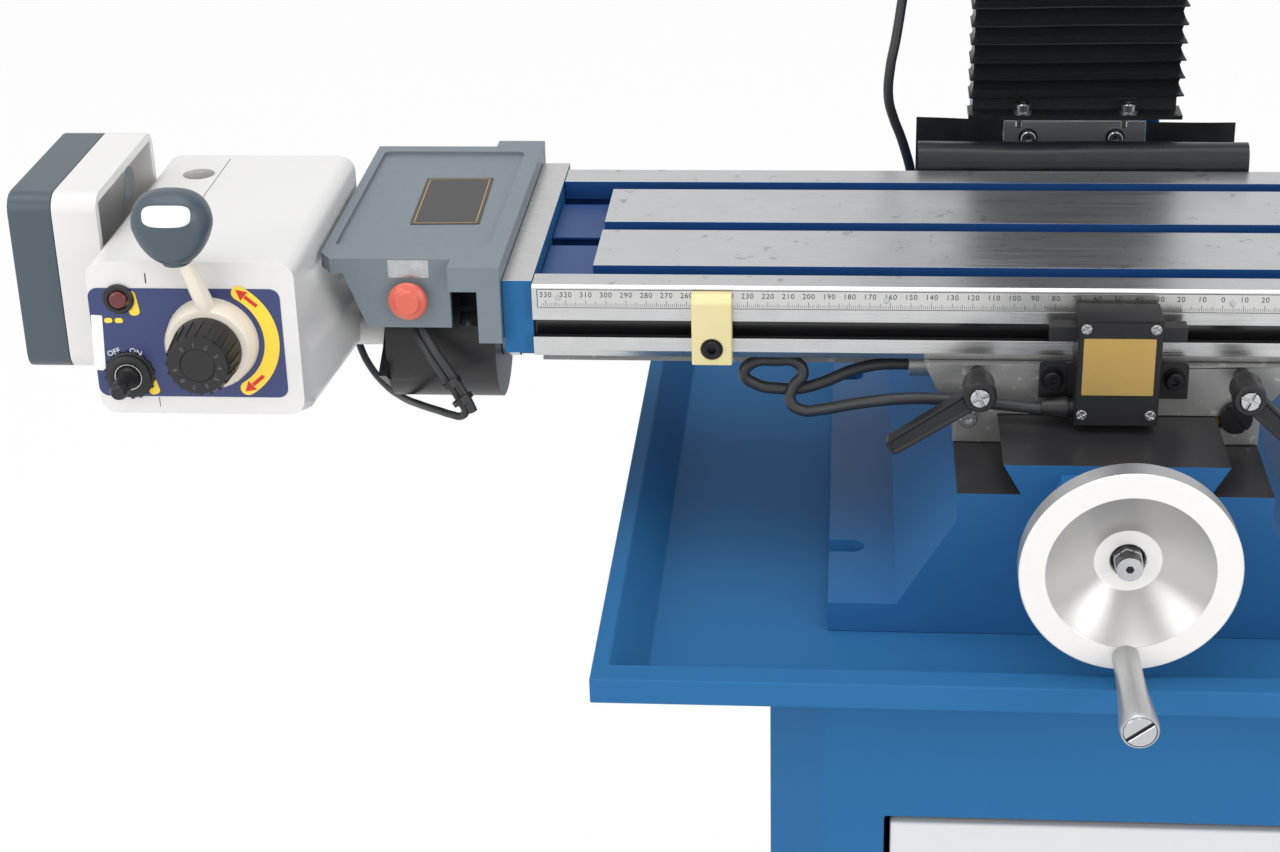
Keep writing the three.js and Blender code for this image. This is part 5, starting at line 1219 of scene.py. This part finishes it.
def wheel_shape(centre, out):
    """Ring, dish, hub and rim, in that order of materials, about an axle at centre (its hub's back)."""
    bm = bmesh.new()
    for index, profile in enumerate((RING_PROFILE, DISH_PROFILE, HUB_PROFILE, RIM_PROFILE)):
        put(bm, lathe(profile, 96), place(centre, out), index)
    return bm


def hub_nut(centre, out):
    """A hexagon nut in the hub's recess, with the rounded end of the shaft in it."""
    bm = bmesh.new()
    nut = bmesh.new()
    bmesh.ops.create_cone(nut, cap_ends=True, segments=6, radius1=7.4, radius2=7.4, depth=6.6)
    bmesh.ops.translate(nut, vec=(0, 0, 15.8), verts=nut.verts)
    bmesh.ops.bevel(nut, geom=list(nut.edges), offset=0.5, segments=2, affect="EDGES")
    put(bm, nut, place(centre, out, "z", 12), 0)
    put(bm, lathe([(7.9, 11.05), (7.9, 11.6), (0, 11.6)], 32), place(centre, out), 1)
    put(bm, lathe([(0, 19.2), (5.3, 19.2), (5.3, 19.5), (0, 19.5)], 32), place(centre, out), 1)
    # The thin black hexagon on the shaft's end is painted shade: it stands for the shaft's hex socket, drawn flat.
    put(bm, lathe([(0, 26.02), (2.0, 26.02), (2.0, 26.1), (0, 26.1)], 6), place(centre, out), 1)
    return bm


def grip_shape(centre, out):
    """A tapered grip on a stud. The slotted end of its screw fills the hollow in its end."""
    bm = bmesh.new()
    put(bm, lathe([(0, 0), (3.5, 0), (3.5, 11), (5.6, 11.3), (6.2, 12.2), (6.35, 30), (6.9, 46), (7.9, 60), (8.6, 68),
                   (8.75, 72), (8.5, 75.2), (8.0, 76), (7.5, 76), (7.4, 75.4), (7.4, 74), (0, 74)], 56),
        place(centre, out), 0)
    hollow = Vector(centre) + direction_of(out) * 73.9
    put(bm, sector_disc(7.2, 2.2, 1.1, [(0, 1.7), (180, 1.7)], 40), place(hollow, out, "z", 38), 1)
    put(bm, lathe([(0, 0), (7.1, 0), (7.1, 1.3), (0, 1.3)], 40), place(hollow, out), 2)
    return bm


def direction_of(out):
    sign = -1 if out.startswith("-") else 1
    return Vector([sign if letter == out[-1] else 0 for letter in "xyz"])


# %% Cross wheel, table wheel and their grips
for tag, back, out, face, dish, wheel_body, grip_body in (
        ("y", (0, -230, 858.4), "-y", y_face, y_dish, "y_drive", "y_handle"),
        ("x", (431.2, -65, 893), "x", x_face, x_dish, "x_drive", "x_handle")):
    wheel = piece(f"{tag}_handwheel.look", wheel_shape(back, out), wheel_body,
                  [face, dish, face, satin], smooth=28)
    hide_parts(f"{tag}_handwheel")
    piece(f"{tag}_handwheel.nut", hub_nut(back, out), wheel_body, [screw_steel, black_screw],
          smooth=30)
    stud = Vector(back) + direction_of(out) * 19 + Vector((0, 0, -42.3))
    grip = piece(f"{tag}_handle.look", grip_shape(stud, out), grip_body,
                 [satin, screw_steel, black_screw], smooth=35)
    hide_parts(f"{tag}_handle")

# %% [markdown]
# The dial behind the cross wheel has fifty short marks round its rim, and every
# fifth is longer. One turn of the wheel moves the saddle by 4 mm, so a mark is
# 0.08 mm. The figures can't be seen behind the wheel, so it carries none.

# %% Dial, bearing bracket and screws
dial_ring = bmesh.new()
dial_low, dial_high = corners("y_dial")
dial_middle = (dial_low.z + dial_high.z) / 2
length = dial_high.y - dial_low.y
put(dial_ring, lathe([(5.4, 0), (20.2, 0), (21, 0.8), (21, length - 0.8), (20.2, length), (5.4, length), (5.4, 0)], 72),
    place((0, dial_high.y, dial_middle), "-y"), 0)
for mark in range(50):
    long = 4.6 if mark % 5 == 0 else 2.8
    tick = block((-0.14, 20.98, length - 1 - long), (0.14, 21.05, length - 1))
    put(dial_ring, tick, place((0, dial_high.y, dial_middle), "-y", "z", mark * 7.2), 1)
ring = piece("y_dial.look", dial_ring, BODY_OF["y_dial"], [satin, black_print], smooth=35)
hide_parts("y_dial")

carry_over("y_bearing_bracket", [cast_blue], 1.6, segments=3)
bracket_low, bracket_high = corners("y_bearing_bracket")
bolts = bmesh.new()
for x in (-25, 25):
    for z in (bracket_low.z + 10, bracket_high.z - 10):
        put(bolts, socket_screw(4.2, 4.5, 2.2), place((x, bracket_low.y, z), "-y"))
piece("y_bearing_bracket.screws", bolts, "frame", [black_screw])


def shaft_face(face):
    """The shaft's end in the hub is bright, and the rest of the screw is oiled."""
    return 1 if face.calc_center_median().y / MM < -238 else 0


carry_over("y_screw", [oiled, screw_steel], 0.7, segments=3, choose=shaft_face)
carry_over("x_screw", [oiled], 0.5)
screw_end = bmesh.new()
out_of_drum = Vector((0, -0.758, 0.652))
seat = Vector((-320.6, -91.8, 916.0))
put(screw_end, plate(10.5, 21, 0.4, 2.2, 5), place(seat - out_of_drum * 0.5, out_of_drum, "z"), 1)
put(screw_end, lathe([(0, 0), (3.6, 0), (3.6, 15.6), (3.0, 16.4), (0, 16.4)], 28),
    place(seat + Vector((0.4, 6.4, -6.0)) - out_of_drum * 1.2, (0, 0.652, 0.758), "x"), 0)
piece("feed_drum.screw_end", screw_end, "table", [screw_steel, gloss_black], soften=0.3)

# %% [markdown]
# ## Way cover and bellows
# Both are soft and cross a joint, so they don't ride on one body: each
# stays where it is made, with no parent. The cover
# starts as a flat grid. A smooth line through a few points gives each row its
# height and depth, with a little noise so that it doesn't hang like card.

# %% Sheet helper
def smooth_line(points, steps):
    """Points spread evenly by count along a Catmull-Rom curve."""
    ends = [points[0]] + list(points) + [points[-1]]
    line = []
    for i in range(len(points) - 1):
        a, b, c, d = (Vector(p) for p in ends[i:i + 4])
        for k in range(steps):
            t = k / steps
            line.append(0.5 * ((2 * b) + (c - a) * t + (2 * a - 5 * b + 4 * c - d) * t ** 2
                               + (3 * b - a - 3 * c + d) * t ** 3))
    line.append(Vector(points[-1]))
    return line


def soft_object(name, bm, material, node):
    """A mesh with no parent, shaped to lie between two bodies, as a stand-in for a CAD node."""
    bmesh.ops.transform(bm, matrix=Matrix.Scale(MM, 4), verts=bm.verts)
    bmesh.ops.recalc_face_normals(bm, faces=bm.faces)
    mesh = bpy.data.meshes.new(name)
    bm.to_mesh(mesh)
    bm.free()
    mesh.materials.append(material)
    mesh.shade_smooth()
    mesh.set_sharp_from_angle(angle=math.radians(50))
    made = bpy.data.objects.new(name, mesh)
    bpy.context.scene.collection.objects.link(made)
    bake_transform(made)
    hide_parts(node)
    return made


# %% Rubber way cover
rubber_sheet = finish("glossy sheet rubber", srgb(23, 25, 29), 0.33, mottle=(30, 0.3), grain=(EVEN, 90), bump=0.25,
                      coat=0.15, rough_span=0.08)
COVER_LINE = [(50.8, 887.6), (51.6, 915), (52.4, 938), (53.3, 946.6), (56.6, 951.6), (61, 952.9), (65.2, 951.8),
              (69, 947), (74.6, 937.4), (84, 922.5), (94, 906.5), (101.5, 894.2), (104.4, 889.9), (106.2, 890.0),
              (107.0, 894), (107.8, 914), (108.6, 936), (108.9, 948.6)]
cover_path = smooth_line(COVER_LINE, 5)
GAP_HALF = 40.8  # the bracket stands in a gap in the rear flap
PLACES = [-90 + 49 * k / 14 for k in range(15)] + [-GAP_HALF + 2 * GAP_HALF * k / 22 for k in range(23)]
PLACES += [41 + 49 * k / 14 for k in range(15)]
COVER_BOTTOM = 889.9


def cover_point(x, share, point):
    """A point of the hanging sheet: share goes from 0 at the saddle to 1 at the column."""
    y, z = point.x, point.y
    wave = noise.noise(Vector((x * 0.018, share * 5, 3.1)))
    if share < 0.5:
        return (x, y + 0.5 * wave, z + 0.7 * wave * min(1, share * 8))
    if share > 0.78:
        lift = (share - 0.78) / 0.22
        z += lift * (0.9 * wave + 2.6 * max(0.0, -x / 90) + 0.4)
        if abs(x) <= GAP_HALF:
            z = COVER_BOTTOM + (z - COVER_BOTTOM) * 0.74
    return (x, y, z)


cover = bmesh.new()
ACROSS, ALONG = len(PLACES) - 1, len(cover_path) - 1
bmesh.ops.create_grid(cover, x_segments=ACROSS, y_segments=ALONG, size=0.5)
for vert in cover.verts:
    column, row = round((vert.co.x + 0.5) * ACROSS), round((vert.co.y + 0.5) * ALONG)
    vert.co = cover_point(PLACES[column], row / ALONG, cover_path[row])
thicken(cover, 1.3)
soft_object("way_cover.look", cover, rubber_sheet, "way_cover")

# %% [markdown]
# The bellows is one closed tube of pleats. Its lowest outline is a ring of
# edges, and each height above it is that ring extruded and reshaped. Each pleat
# has a thin lip where the cloth is folded tight, a faint crease under it and a
# deep valley. Its lowest pleat is wider open, which leaves room for two screws.

# %% Column bellows
bellows_low, bellows_high = corners("column_bellows")
PLEAT = 10.4
rows = [(bellows_low.z, 0.0), (bellows_low.z + 2.4, 0.0), (bellows_low.z + 2.7, 11.0), (bellows_low.z + 9.2, 11.0)]
ridge = bellows_low.z + 13.4
while ridge < bellows_high.z - 8:
    rows += [(ridge - 0.45, 0.15), (ridge + 0.35, 0.0), (ridge + 0.75, 1.6), (ridge + 3.0, 4.4), (ridge + 3.4, 4.0),
             (ridge + 5.6, 7.0), (ridge + 8.4, 4.6)]
    ridge += PLEAT
rows += [(bellows_high.z - 3.0, 4.0), (bellows_high.z - 2.4, 0.0), (bellows_high.z, 0.0)]


def pleat_outline(inset, z, row):
    """The tube's outline at one height, more finely divided along the front."""
    side = 60.4 - min(inset * 0.5, 2.6)
    front, back = bellows_low.y + 0.1 + inset, bellows_high.y - 0.2
    calm = min(1.0, min(z - bellows_low.z - 2.7, bellows_high.z - 2.5 - z) / 8) if 0 < row else 0
    points = []
    for k in range(25):
        x = side - 2 * side * k / 24
        lift = max(0.0, calm) * (0.75 * noise.noise(Vector((x * 0.02, z * 0.05, 1.7))) + 0.012 * x)
        points.append((x, front + 0.3 * noise.noise(Vector((x * 0.05, z * 0.11, 7.0))) * max(0.0, calm), z + lift))
    for y in (front + (back - front) * 0.5, back):
        points.append((-side, y, z))
    for y in (back, front + (back - front) * 0.5):
        points.append((side, y, z))
    return points


tube = bmesh.new()
ring_verts = [tube.verts.new(point) for point in pleat_outline(rows[0][1], rows[0][0], 0)]
ring_edges = [tube.edges.new(pair) for pair in zip(ring_verts, ring_verts[1:] + ring_verts[:1])]
bmesh.ops.contextual_create(tube, geom=ring_edges)
for row, (z, inset) in enumerate(rows[1:], 1):
    grown = bmesh.ops.extrude_edge_only(tube, edges=ring_edges)["geom"]
    ring_edges = [e for e in grown if isinstance(e, bmesh.types.BMEdge)]
    above = {v for v in grown if isinstance(v, bmesh.types.BMVert)}
    upper = [next(e.other_vert(v) for e in v.link_edges if e.other_vert(v) in above) for v in ring_verts]
    for vert, point in zip(upper, pleat_outline(inset, z, row)):
        vert.co = point
    ring_verts = upper
bmesh.ops.contextual_create(tube, geom=ring_edges)
bellows_cloth = finish("coated bellows cloth", srgb(20, 22, 26), 0.4, mottle=(70, 0.3), grain=(EVEN, 500), bump=0.15,
                       coat=0.1, rough_span=0.1)
soft_object("column_bellows.look", tube, bellows_cloth, "column_bellows")

# %% Bellows bracket and its screws
ribbed = finish("extruded aluminium", srgb(158, 160, 163), 0.36, 0.85, mottle=(60, 0.1), grain=(ALONG_X, 1100),
                bump=0.5, rough_span=0.08)
carry_over("bellows_bracket", [ribbed], 0.4)
bracket_front = edge_line("bellows_bracket", 1, 0)
fasteners = bmesh.new()
for x in (-29.3, 30.4):
    foot = (x, bellows_low.y + 5.6, bellows_low.z + 2.4)
    put(fasteners, lathe([(0, 0), (5.4, 0), (5.4, 0.8), (0, 0.8)], 28), place(foot, "z", "y"), 0)
    put(fasteners, lathe([(0, 0.8), (4.0, 0.8), (4.3, 1.2), (4.3, 5.3), (3.8, 5.9), (2.1, 5.9), (2.1, 3.4),
                          (0, 3.4)], 28), place(foot, "z", "y"), 0)
for x in (-31.7, 27.6):
    put(fasteners, lathe([(0, 0), (2.4, 0), (2.4, 3.4), (2.0, 3.8), (0, 3.8)], 20),
        place((x, bracket_front + 1.2, 950.6), "-z", "y"), 0)
for x in (-26.2, 23.0):
    put(fasteners, lathe([(0, 0.05), (5.4, 0.05), (5.4, 0.3), (0, 0.3)], 28), place((x, bracket_front, 940.8), "-y"), 1)
    put(fasteners, lathe([(0, 0), (4.2, 0), (4.2, 3.2), (3.8, 3.6), (2.2, 3.6), (2.2, 1.6), (0, 1.6)], 28),
        place((x, bracket_front, 940.8), "-y"), 0)
piece("bellows_bracket.screws", fasteners, "frame", [screw_steel, black_screw])

# %% [markdown]
# ## Column, head and quill
# These stand outside the close view, but they are part of the machine and get
# the same care: ground ways on painted castings, screws where covers need them,
# and a fan grille on the motor.

# %% Column, cap and screws of the Z drive
column_low, _ = corners("column")


def column_face(face):
    """The ways at the front are ground, and the rest is painted."""
    centre = face.calc_center_median() / MM
    return 1 if centre.y < column_low.y + 10.5 and centre.z > column_low.z + 1 else 0


carry_over("column", [cast_blue, ground], 1.2, segments=3, choose=column_face)
carry_over("column_cap", [blue_enamel], 1.6, segments=3)
carry_over("z_screw", [oiled], 0.5)
carry_over("z_handwheel", [satin], 1.2, smooth=40, segments=3)
cap_box_low, cap_box_high = corners("column_cap")
cap_screws = bmesh.new()
for x in (cap_box_low.x + 10, cap_box_high.x - 10):
    for y in (cap_box_low.y + 10, cap_box_high.y - 10):
        put(cap_screws, socket_screw(4.4, 4.5, 2.3), place((x, y, cap_box_high.z), "z", "y"))
piece("column_cap.screws", cap_screws, "frame", [black_screw])

# %% Control box
carry_over("control_box", [feed_white], 1.6, segments=3)
ctrl_low, ctrl_high = corners("control_box")
ctrl_bottom = ctrl_high.z - 240
ctrl = bmesh.new()
lid = (ctrl_low.x + ctrl_high.x) / 2
put(ctrl, plate(ctrl_high.x - ctrl_low.x - 9, 231, 1.6, 3, 4), place((lid, ctrl_low.y, ctrl_bottom + 120), "-y"), 0)
for x in (ctrl_low.x + 10, ctrl_high.x - 10):
    for z in (ctrl_bottom + 10, ctrl_high.z - 10):
        put(ctrl, phillips(3.6, 1.8, 0.8), place((x, ctrl_low.y - 1.6, z), "-y"), 1)
for z, index in ((ctrl_high.z - 60, 2), (ctrl_high.z - 105, 3)):
    put(ctrl, lathe([(0, 0), (14, 0), (14, 1.6), (12.6, 2.4), (12.2, 5), (11.4, 5.8), (0, 5.8)], 36),
        place((lid, ctrl_low.y - 1.6, z), "-y"), index)
green = finish("green moulding", srgb(34, 128, 70), 0.32, mottle=(60, 0.05), grain=(EVEN, 600), bump=0.05, coat=0.2)
piece("control_box.lid", ctrl, "frame", [feed_white, screw_steel, green, black], soften=0.3)
ring_nut = bmesh.new()
put(ring_nut, lathe([(3.3, 0), (8.6, 0), (9.0, 0.6), (9.0, 6.4), (8.4, 7), (3.3, 7), (3.3, 0)], 8),
    place((ctrl_low.x + 56, ctrl_low.y + 13, ctrl_bottom), "-z", "y"), 0)
piece("control_box.gland_nut", ring_nut, "frame", [black])

# %% Carriage and head
carry_over("head_carriage", [cast_blue], 1.4, segments=3)
head_low, _ = corners("head_casting")
carry_over("head_casting", [cast_blue], 2.2, smooth=32, segments=3)
PANEL_Z = 1455
COVER_BOLTS_Z, COVER_BOLTS_RADIUS = 1400, 68
head_trim = bmesh.new()
for angle in (45, 135, 225, 315):
    a = math.radians(angle)
    at = (COVER_BOLTS_RADIUS * math.cos(a), head_low.y, COVER_BOLTS_Z + COVER_BOLTS_RADIUS * math.sin(a))
    put(head_trim, socket_screw(5, 5, 2.6), place(at, "-y"), 0)
put(head_trim, plate(72, 46, 0.8, 3, 4), place((18, head_low.y, PANEL_Z), "-y"), 1)
knob_at, lamp_at = (2, head_low.y - 0.8, PANEL_Z), (36, head_low.y - 0.8, PANEL_Z)
put(head_trim, lathe([(0, 0), (11, 0), (11, 2), (9.4, 9), (8.6, 10), (0, 10)], 40), place(knob_at, "-y"), 2)
put(head_trim, block((-0.7, 1.5, 10), (0.7, 8.2, 10.3)), place(knob_at, "-y", "z", 30), 3)
put(head_trim, lathe([(0, 0), (6, 0), (6, 3), (5, 4), (0, 4)], 32), place(lamp_at, "-y"), 4)
piece("head_casting.controls", head_trim, "head", [black_screw, plate_black, black, white_print, green],
      soften=0.25)

# %% [markdown]
# The motor is a finned drum with a grille of slots in its fan cover. The fins
# stay inside the CAD cylinder's radius, and the slots are dark blades let into
# the top.

# %% Spindle motor
MOTOR_AT, MOTOR_RADIUS = (0, -26), 62
motor_low, motor_high = corners("spindle_motor")
body_bottom, body_top = motor_low.z + 26, motor_high.z - 46
fins = bmesh.new()
for fin in range(40):
    angle = fin * 9
    if 60 < angle % 360 < 120:
        continue
    put(fins, block((MOTOR_RADIUS - 1, -0.9, body_bottom), (MOTOR_RADIUS + 4.5, 0.9, body_top)),
        place((*MOTOR_AT, 0), "z", "y", angle), 0)
for step in range(9):
    offset = -44 + step * 11
    half = math.sqrt(max(0.0, 50 ** 2 - offset ** 2))
    put(fins, block((-half, offset - 2.0, 0), (half, offset + 2.0, 0.12)),
        place((*MOTOR_AT, motor_high.z), "z", "y"), 1)
put(fins, lathe([(MOTOR_RADIUS - 0.2, 0), (MOTOR_RADIUS + 1.2, 0), (MOTOR_RADIUS + 1.2, 30), (MOTOR_RADIUS - 0.2, 30),
                 (MOTOR_RADIUS - 0.2, 0)], 72), place((*MOTOR_AT, body_top + 2), "z", "y"), 0)
put(fins, block((-24, -MOTOR_RADIUS - 22, 1552), (24, -50, 1606)), place((*MOTOR_AT, 0), "z", "y"), 2)
piece("spindle_motor.fins", fins, "head", [cap_grey, black, cap_grey], soften=0.6)
carry_over("spindle_motor", [cap_grey], 1.6, smooth=40, segments=3)

# %% Stop button, quill, spindle and feed arms
carry_over("emergency_stop", [red], 1.2, smooth=45, segments=3)
stop_low, stop_high = corners("emergency_stop")
stop_ring = bmesh.new()
put(stop_ring, lathe([(11, 0), (24, 0), (24, 1.2), (23.4, 1.6), (11, 1.6), (11, 0)], 56),
    place(((stop_low.x + stop_high.x) / 2, head_low.y, (stop_low.z + stop_high.z) / 2), "-y"), 0)
piece("head_casting.stop_plate", stop_ring, "head", [yellow])
carry_over("quill", [ground], 0.6, smooth=40)
carry_over("spindle", [screw_steel], 0.8, smooth=40)
FEED_AXIS = (0.0, 1372.0)


def arm_face(face):
    """The knobs at the ends of the arms are plastic."""
    centre = face.calc_center_median() / MM
    return 1 if math.hypot(centre.y - FEED_AXIS[0], centre.z - FEED_AXIS[1]) > 90.5 else 0


carry_over("quill_feed_handle", [screw_steel, gloss_black], 1.0, smooth=40, segments=3, choose=arm_face)
